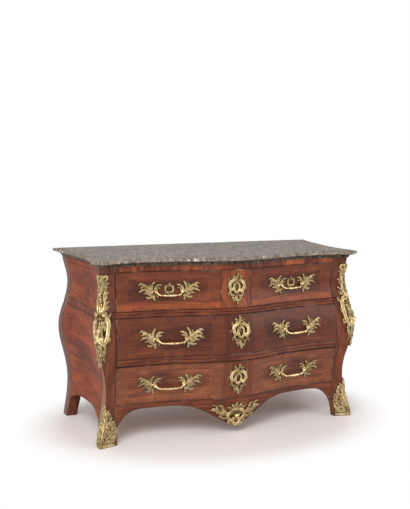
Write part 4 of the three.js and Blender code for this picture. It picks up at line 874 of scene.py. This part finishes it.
PLATE_REACH = 0.076
PLATE_RISE = 0.0105
PLATE_ROWS = [
    ([(-10, -14), (-30, 12), (-52, 34), (-76, 42), (-98, 24)], 17, 95, 6),
    ([(-56, 30), (-74, 50), (-94, 56), (-108, 46)], 10.6, 85, 3),
    ([(-10, -16), (-40, 2), (-64, 18), (-84, 16), (-108, 0)], 14.9, 80, 5),
    ([(-12, -20), (-34, -16), (-56, -4), (-78, -8)], 11.4, 75, 4),
    ([(-8, -20), (-30, -30), (-46, -34), (-60, -26)], 12.1, 85, 4),
    ([(-2, -10), (-10, -28), (-10, -42), (-4, -54)], 12.1, 95, 3),
    ([(-14, -6), (-24, 20), (-19, 48), (-3, 72)], 14.9, 100, 5),
    ([(-28, 12), (-38, 34), (-36, 56)], 8.52, 70, 3),
    ([(0, -4), (0, 22), (14, 42), (45, 46)], 13.5, 95, 5),
    ([(3, 2), (10, 20), (22, 27), (36, 22)], 9.94, 80, 3),
    ([(4, -6), (12, -20), (14, -34)], 8.52, 80, 2),
    ([(-24, -12), (-20, 4), (-6, 12), (8, 6), (9, -8)], 6.39, 110, SCROLL),
]
STUD_PROFILE = [(0.0086, -CAST_SINK), (0.009, 0.003), (0.0062, 0.0055), (0.0056, 0.0105), (0.0066, 0.0128),
                (0.0056, 0.0155), (0.0028, 0.0168), (0.0005, 0.0172)]
STUD_SIDES = 14
STUD_SPREADS = {"top": 0.066, "middle": 0.072, "bottom": 0.072}
BAIL_RADIUS = 0.0036
BAIL_DROP = 0.014
BAIL_FORWARD = 0.009
BAIL_GAP = 0.0006
BAIL_LINE_SHARES = [(1, 0, 0), (0.93, 0, 0), (0.87, 0.3, 0.34), (0.79, 0.74, 0.7), (0.64, 0.95, 0.9),
                    (0.35, 1, 1), (0, 1, 1.04)]
BAIL_SWELL = ((0, 0.05, 0.075, 0.1, 0.15, 0.18, 0.2, 0.24, 0.3, 0.42, 0.52, 0.7, 0.85, 0.93, 1),
              (2.3, 2.1, 1.0, 1.7, 1.7, 0.8, 1.0, 1.6, 1.65, 1.05, 0.85, 1.15, 1.0, 0.72, 0.72))
BAIL_STATIONS = 61
BAIL_SIDES = 12


def bail(name, joint, half_length, node):
    """A swinging bail with a knop in its middle, built about its joint's axis. Its front has a painted
    highlight and its back painted shade, and it is faintly ringed."""
    middle = Vector(joint["pos_m"])
    along = -Vector(joint["axis"]).normalized()
    forward = along.cross(Vector((0, 0, 1))).normalized()
    other_half = [(-s, f, d) for s, f, d in reversed(BAIL_LINE_SHARES[:-1])]
    line = curve_points(BAIL_LINE_SHARES + other_half, BAIL_STATIONS)
    down = Vector((0, 0, -BAIL_DROP))
    centres = [middle + along * (s * half_length) + forward * (f * BAIL_FORWARD) + down * d
               for s, f, d in line]
    points, patina_and_light = [], []
    for i, centre in enumerate(centres):
        heading = (centres[min(i + 1, BAIL_STATIONS - 1)] - centres[max(i - 1, 0)]).normalized()
        sideways = (forward - heading * heading.dot(forward)).normalized()
        third = heading.cross(sideways)
        radius = BAIL_RADIUS * np.interp(abs(line[i][0]), *BAIL_SWELL)
        for turn in range(BAIL_SIDES):
            angle = 2 * math.pi * turn / BAIL_SIDES
            points.append(centre + (sideways * math.cos(angle) + third * math.sin(angle)) * float(radius))
            # Painted highlight in front, painted shade behind, and faint rings.
            patina_and_light.append(0.55 + 0.45 * math.cos(angle) + 0.1 * (i % 2))
    cast_piece(name, points, ring_faces(BAIL_STATIONS, BAIL_SIDES), patina_and_light, node)


joints = {joint["name"]: joint for joint in frame["joints"]}
handle_drawers = {f"{row}_{end}": f"drawer_top_{end}" if row == "top" else "drawer_" + row
                  for row in ("top", "middle", "bottom") for end in ("left", "right")}
for place_name, drawer in handle_drawers.items():
    handle = "handle_" + place_name
    joint = joints[f"bail_{place_name}_swing"]
    seat = surface_of(front_pieces[drawer + "_front"])
    along = -Vector(joint["axis"]).normalized()
    half_spread = STUD_SPREADS[place_name.split("_")[0]]
    for side_name, sign in (("left", -1), ("right", 1)):
        stud_place = Vector(joint["pos_m"]) + along * sign * half_spread
        lay = on_front(seat, stud_place.x, stud_place.z, -sign)
        parts = leaves(PLATE_ROWS, PLATE_REACH, PLATE_RISE)
        parts.append(stud_of(0, 0, STUD_PROFILE, STUD_SIDES))
        casting(f"{handle}_{side_name}_leaves", parts, lay, f"{handle}_plate_{side_name}")
    bail(handle + "_swinging_bail", joint, half_spread - BAIL_GAP, handle + "_bail")

# The escutcheons
# Shell and flame castings round each keyhole, and a blind one on the fixed panel. The two top
# drawers have small ones between their handle plates.
ESCUTCHEON_HALF_HEIGHT = 0.079
ESCUTCHEON_RISE = 0.0095
ESCUTCHEON_ROWS = [
    ([(0, 40), (-5, 60), (5, 80), (-1, 100)], 17, 100, 5),
    ([(-8, 42), (-22, 56), (-20, 72), (-30, 84)], 12, 90, 4),
    ([(10, 40), (24, 52), (22, 68), (31, 78)], 12, 90, 4),
    ([(-4, 50), (-26, 50), (-46, 28), (-42, 0), (-24, -6), (-20, 10)], 11.5, 105, SCROLL),
    ([(8, 46), (32, 44), (50, 20), (44, -10), (26, -16), (20, 0)], 11.5, 105, SCROLL),
    ([(-24, 2), (-42, -16), (-36, -38), (-16, -40)], 11, 95, 4),
    ([(24, -6), (42, -24), (34, -46), (14, -46)], 11, 95, 4),
    ([(-36, 36), (-52, 50), (-50, 66)], 9, 80, 3),
    ([(-42, 14), (-60, 16), (-70, 4)], 9, 80, 3),
    ([(42, 30), (56, 42), (56, 56)], 9, 80, 3),
    ([(46, 4), (62, 4), (70, -10)], 9, 80, 3),
    ([(-36, -26), (-52, -30), (-56, -46)], 8, 80, 3),
    ([(36, -34), (52, -40), (52, -56)], 8, 80, 3),
    ([(-12, -36), (-26, -52), (-20, -70), (-28, -80)], 11, 90, 4),
    ([(12, -38), (26, -56), (18, -72), (24, -84)], 11, 90, 4),
    ([(0, -40), (-5, -60), (5, -80), (0, -100)], 16, 100, 6),
    ([(0, 34), (-17, 20), (-15, -12), (0, -28), (15, -12), (17, 20), (0, 34)], 7.5, 90, SCROLL),
    ([(0, 62), (0, 46), (0, 30)], 12, 85, 3),
    ([(0, 66), (0, 30), (0, -10), (0, -62)], 36, 28, 0),
]
SMALL_HALF_HEIGHT = 0.037
SMALL_RISE = 0.0065
SMALL_ROWS = [
    ([(0, 34), (6, 66), (0, 100)], 26, 100, 3),
    ([(0, -38), (-6, -70), (0, -100)], 23.4, 100, 3),
    *both_ways([(-6, 60), (-44, 40), (-50, -10), (-20, -34), (-10, -20)], 14.3, 100, SCROLL),
    *both_ways([(-30, -30), (-50, -50), (-24, -72)], 15.6, 80, 2),
    *both_ways([(-40, 30), (-62, 50), (-56, 80)], 14, 80, 2),
    ([(0, 70), (0, 20), (0, -60)], 34, 25, 0),
]


def middle_of(node):
    """The middle of a node's box."""
    low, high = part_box(node)
    return (low + high) / 2


for node, seat_node in {"escutcheon_top": "centre_post", "escutcheon_middle": "drawer_middle_front",
                        "escutcheon_bottom": "drawer_bottom_front"}.items():
    lay = on_front(surface_of(front_pieces[seat_node]), 0, middle_of(node).z)
    casting(node + "_flames", leaves(ESCUTCHEON_ROWS, ESCUTCHEON_HALF_HEIGHT, ESCUTCHEON_RISE), lay, node)
for side_name in ("left", "right"):
    node = "escutcheon_top_" + side_name
    middle = middle_of(node)
    lay = on_front(surface_of(front_pieces[f"drawer_top_{side_name}_front"]), middle.x, middle.z)
    casting(node + "_scrolls", leaves(SMALL_ROWS, SMALL_HALF_HEIGHT, SMALL_RISE), lay, node)

# The corner chutes
# Long castings that cap the front corners: two volutes over a pierced strip with bosses, a large
# open cartouche of scrolls, and leaves that run down to a point.
CHUTE_TOP = 0.786
CHUTE_HEIGHT = 0.416
CHUTE_RISE = 0.0155
CORNER_REACH = 0.007
CORNER_SWELL = 0.55
CORNER_LEVELS = 90
CORNER_LEVEL_REACH = 0.012
CORNER_STEPS = 60
CORNER_STEP = 0.001
CORNER_LIFTS = (0, 0.003, -0.003, 0.006, -0.006)
CHUTE_ROWS = [
    ([(0, -10), (0, -5), (0.6, -1.5), (0, 1)], 3.8, 100, 3),
    ([(-0.4, -7), (-4.5, -5.5), (-6.4, -2), (-4.6, 0.2), (-2.6, -1), (-3.6, -2.6)], 1.6, 100, SCROLL),
    ([(0.4, -7), (5, -5.5), (7.4, -2), (5.4, 0.4), (3, -1), (4.2, -2.8)], 1.6, 100, SCROLL),
    ([(-2.1, -6), (-3.4, -14), (-2.1, -22), (-3.4, -31), (-1.6, -42)], 1.6, 85, SCROLL),
    ([(2.3, -6), (4.3, -14), (2.5, -22), (3.9, -31), (1.6, -42)], 1.6, 85, SCROLL),
    ([(0, -40), (-5.7, -44), (-9.4, -54), (-8.2, -65), (-3.7, -71), (-1, -67), (-2.8, -63)],
     2.5, 110, SCROLL),
    ([(0.8, -39), (7, -43), (11.1, -53), (10, -65), (5.1, -73), (1.6, -69), (3.8, -65)], 2.8, 115, SCROLL),
    ([(-2.5, -44), (2.8, -48), (4.1, -55), (-1.6, -60), (0.8, -68)], 2.9, 90, 5),
    ([(-4.1, -46), (-4.9, -54), (-3.3, -60)], 2, 70, 3),
    ([(-6.6, -48), (-10.2, -46), (-11.5, -42)], 2.2, 80, 3),
    ([(-8.2, -60), (-11.1, -62), (-12.3, -57)], 2, 80, 3),
    ([(8.2, -46), (12.3, -45), (13.8, -41)], 2.3, 80, 3),
    ([(10.2, -57), (13.3, -58), (14.6, -53)], 2, 80, 3),
    ([(8.2, -68), (11.9, -71), (12.7, -66)], 2, 80, 3),
    ([(-3, -36), (-7, -37), (-9, -33)], 2, 80, 3),
    ([(3, -36), (8, -37), (10, -33)], 2, 80, 3),
    ([(-2.5, -66), (-5.7, -76), (-2.9, -85), (-4.5, -93)], 2.9, 85, 6),
    ([(3.3, -68), (6.6, -78), (3.4, -87), (4.9, -94)], 2.9, 85, 6),
    ([(0, -66), (1.4, -79), (-0.6, -91), (0.4, -100)], 3.5, 90, 8),
    ([(-7, -0.4), (-3, 0.6), (3, 0.6), (8.5, -0.8)], 1.5, 80, 3),
    ([(-6, -4), (0, -5), (7, -4)], 1.2, 70, 3),
    ([(-6.6, -50), (-7, -58), (-4.1, -66)], 2, 60, 4),
    ([(5.7, -44), (8.2, -52), (7.4, -60)], 2.4, 60, 4),
    ([(4.1, -62), (4.9, -70), (1.6, -78)], 2.2, 60, 4),
    ([(0, -42), (0.4, -50), (0.6, -60), (0, -72)], 8.5, 30, 0),
    ([(0, -2), (0, -14), (0, -28), (0, -42)], 3.4, 30, 0),
    ([(0, -30), (-1.4, -20), (1.4, -10), (0, -2)], 3, 100, 8),
    ([(0.4, -42), (1.2, -36), (-1, -30), (0, -24)], 3.2, 95, 5),
    ([(-0.5, -17), (-3.6, -13), (-4.6, -8), (-8, -6)], 2.6, 95, 4),
    ([(0.5, -18), (4.2, -14), (5.4, -9), (9.4, -7.5)], 2.7, 95, 4),
    ([(-0.8, -27), (-4, -23), (-4.8, -18), (-7.6, -15.5)], 2.6, 95, 4),
    ([(0.8, -29), (4.6, -25), (5.4, -20), (8.6, -17.5)], 2.7, 95, 4),
    ([(-1, -38), (-4.5, -35), (-5.2, -30), (-8.2, -27)], 2.6, 95, 4),
    ([(1, -40), (5.4, -37), (6.2, -31), (9.4, -28)], 2.7, 95, 4),
    ([(-2, -50), (-6, -46), (-10, -44), (-12, -40)], 2.4, 90, 4),
    ([(3, -74), (8, -70), (12, -71), (14, -66)], 2.4, 90, 4),
    ([(-3, -76), (-6, -72), (-10, -73), (-12, -68)], 2.2, 90, 4),
    ([(0, -50), (3, -56), (-1, -62), (2, -68)], 3, 80, 5),
]
CHUTE_BOSSES = [(3.4, -43, 1.3, 105), (-3.2, -43, 1.2, 105)]


def on_corner(side, z0):
    """Lays a round the front corner of one side, b up and h out. Positive a lies on the front face."""
    side_name = "right" if side > 0 else "left"
    stile = case_pieces["front_stile_" + side_name]
    tree = surface_of(stile, case_pieces["side_panel_" + side_name])
    spots = np.array([v.co for v in stile.data.vertices])
    spots = spots[np.argsort(spots[:, 2])]
    foot, top = spots[0, 2] + 2 * EDGE_ROUNDING, spots[-1, 2] - 2 * EDGE_ROUNDING
    levels = np.linspace(spots[0, 2], spots[-1, 2], CORNER_LEVELS)
    nearest = []
    for level in levels:
        close = spots[np.abs(spots[:, 2] - level) < CORNER_LEVEL_REACH]
        nearest.append(close[np.argmax(close[:, 0] * side - close[:, 1])])
    smooth = np.ones(5) / 5
    corner_x, corner_y, _ = (np.convolve(np.pad(line, 2, "edge"), smooth, "valid") for line in zip(*nearest))

    def hit(start, aim, axis, first_way):
        """Where a ray meets a face turned to it. The ray moves to and fro along an axis until it does."""
        for step in range(CORNER_STEPS):
            for lift in CORNER_LIFTS:
                place = list(start)
                place[axis] += (-1) ** step * first_way * step * CORNER_STEP
                place[2] += lift
                met, normal, _, _ = tree.ray_cast(Vector(place), aim)
                if met and normal.dot(aim) < -0.5:
                    return Vector((met.x, met.y, start[2])), normal
        raise ValueError("no face at the corner")

    def lay(a, b, h):
        z = min(max(z0 + b, foot), top)
        x, y = float(np.interp(z, levels, corner_x)), float(np.interp(z, levels, corner_y))
        front_start = (x - side * max(a, CORNER_REACH), -RAY_START, z)
        front, front_normal = hit(front_start, Vector((0, 1, 0)), 0, side)
        if a >= CORNER_REACH:
            return front + front_normal * h
        flank_start = (side * RAY_START, y + max(-a, CORNER_REACH), z)
        flank, flank_normal = hit(flank_start, Vector((-side, 0, 0)), 1, -1)
        if a <= -CORNER_REACH:
            return flank + flank_normal * h
        turn = (CORNER_REACH - a) / (2 * CORNER_REACH)
        swell = CORNER_REACH * CORNER_SWELL * math.sin(math.pi * turn)
        rounding = (front_normal + flank_normal).normalized() * swell
        return front.lerp(flank, turn) + rounding + front_normal.lerp(flank_normal, turn).normalized() * h

    return lay


for side_name, side in (("left", -1), ("right", 1)):
    parts = leaves(CHUTE_ROWS, CHUTE_HEIGHT, CHUTE_RISE, CHUTE_BOSSES)
    casting(f"chute_{side_name}_scrolls", parts, on_corner(side, CHUTE_TOP), "chute_" + side_name)

# The sabots
# Leafy casings round the front feet, with a moulded band at the floor, scrolls on both faces and
# a tall leaf up the corner.
SABOT_HEIGHT = 0.196
SABOT_RISE = 0.0115
SABOT_FOOT = 0.0012
SABOT_ROWS = [
    ([(0, 5), (0, 30), (2, 56), (-1.2, 80), (1, 100)], 11.1, 100, 8),
    ([(-3, 10), (-13, 26), (-12, 44), (-4, 54), (-2, 46), (-6, 42)], 4.4, 105, SCROLL),
    ([(3, 50), (16.6, 58), (15.4, 72), (6.4, 82)], 6.5, 90, 4),
    ([(-3, 48), (-11, 56), (-10, 70), (-4, 80)], 5.8, 90, 4),
    ([(7.7, 10), (28.2, 16), (37.1, 30), (33.3, 44)], 7.2, 80, 5),
    ([(-5, 10), (-15, 14), (-20, 26), (-17, 38)], 5.8, 80, 5),
    ([(7.7, 16), (17.9, 22), (25.6, 34), (23, 50)], 5.2, 80, 4),
    ([(2, 20), (9, 28), (7.7, 38)], 4.6, 80, 3),
    ([(-2, 20), (-6, 28), (-5, 38)], 3.9, 80, 3),
    ([(-22.5, 3.5), (-10, 3.5), (0, 3.5), (19.2, 3.5), (39.7, 3.5)], 3.9, 60, SCROLL),
    ([(-21.5, 10), (-10, 10), (0, 10), (19.2, 10), (38.4, 10)], 2.9, 50, SCROLL),
    ([(17.9, 6), (21.8, 24), (20.5, 42), (12.8, 56)], 11, 40, 8),
    ([(-10, 6), (-12, 24), (-11, 40), (-7, 52)], 8, 40, 7),
    ([(30.7, 6), (34.6, 16), (33.3, 28)], 5, 50, 4),
    ([(-6, 16), (-14, 20), (-17, 34)], 3, 90, SCROLL),
    ([(20, 0), (20, 20), (17, 38), (10, 56), (4, 70)], 19, 30, 0),
    ([(-12, 0), (-13, 20), (-11, 38), (-8, 56), (-4, 70)], 12, 30, 0),
    ([(30, 12), (35, 22), (33, 36)], 5, 90, 3),
    ([(24, 34), (30, 44), (25, 56)], 4.5, 90, 3),
    ([(6, 8), (14, 17), (12, 28), (20, 37)], 6.5, 105, 4),
    ([(16, 8), (25, 16), (24, 27), (33, 33)], 6, 100, 4),
    ([(5, 30), (12, 40), (10, 52), (19, 60)], 6, 105, 4),
    ([(19, 30), (24, 42), (20, 52), (27, 58)], 5, 95, 3),
    ([(3, 55), (8, 66), (6, 78), (12, 86)], 5, 95, 4),
    ([(-5, 8), (-10, 17), (-8, 28), (-15, 36)], 5.5, 105, 4),
    ([(-13, 8), (-18, 15), (-17, 25), (-22, 30)], 4.5, 100, 3),
    ([(-4, 30), (-9, 40), (-8, 52), (-13, 60)], 5, 105, 4),
    ([(-2, 55), (-6, 66), (-5, 78), (-9, 84)], 4, 95, 4),
]
SABOT_BOSSES = [(-5.5, 47, 2.8, 110), (6.5, 47, 2.8, 110)]
for side_name, side in (("left", -1), ("right", 1)):
    parts = leaves(SABOT_ROWS, SABOT_HEIGHT, SABOT_RISE, SABOT_BOSSES)
    casting(f"sabot_{side_name}_leaves", parts, on_corner(side, SABOT_FOOT), "sabot_" + side_name)

# The apron mount
# A shell over a cabochon held by two scrolls, with a long leaf running out on each side, pinned
# to the drop of the apron.
APRON_HALF_WIDTH = 0.136
APRON_MOUNT_HEIGHT = 0.094
APRON_RISE = 0.0115
APRON_ROWS = [
    ([(0, -30), (0, -16), (0, 2)], 16, 50, 3),
    ([(0, 10), (2, 24), (-1, 34), (2, 48)], 10, 100, 4),
    *both_ways([(-4, 10), (-12, 22), (-12, 30), (-20, 38)], 9, 90, 3),
    *both_ways([(-10, 8), (-22, 16), (-26, 26), (-36, 28)], 8, 90, 3),
    ([(-20, 14), (0, 20), (24, 12), (30, -6), (16, -18), (4, -10), (10, 0)], 6.2, 110, SCROLL),
    ([(-16, 12), (-33, 2), (-30, -14), (-16, -20), (-10, -10)], 6.2, 105, SCROLL),
    ([(-20, -12), (-30, -24), (-20, -34), (-6, -42)], 8.5, 95, 4),
    ([(20, -12), (32, -22), (22, -33), (6, -42)], 8.5, 95, 4),
    ([(-8, -20), (-14, -28), (0, -36), (12, -28), (8, -20)], 5.5, 95, SCROLL),
    *both_ways([(-26, -2), (-42, 6), (-62, 8), (-80, 22), (-100, 20)], 13, 95, 8),
    *both_ways([(-36, 6), (-50, 18), (-56, 32), (-70, 38)], 9, 90, 4),
    *both_ways([(-30, -6), (-44, -12), (-56, -8), (-68, -2)], 8, 85, 4),
    *both_ways([(-58, 12), (-72, 26), (-78, 36), (-90, 40)], 6.5, 85, 4),
    ([(-34, 0), (0, 6), (34, 0)], 13, 30, 0),
]
APRON_BOSSES = [(0, -6, 7.5, 120)]
apron_parts = leaves(APRON_ROWS, APRON_HALF_WIDTH, APRON_RISE, APRON_BOSSES)
apron_lay = on_front(surface_of(case_pieces["apron"]), 0, APRON_MOUNT_HEIGHT)
casting("apron_mount_shell", apron_parts, apron_lay, "apron_mount")

bpy.context.scene.view_settings.view_transform = "Standard"
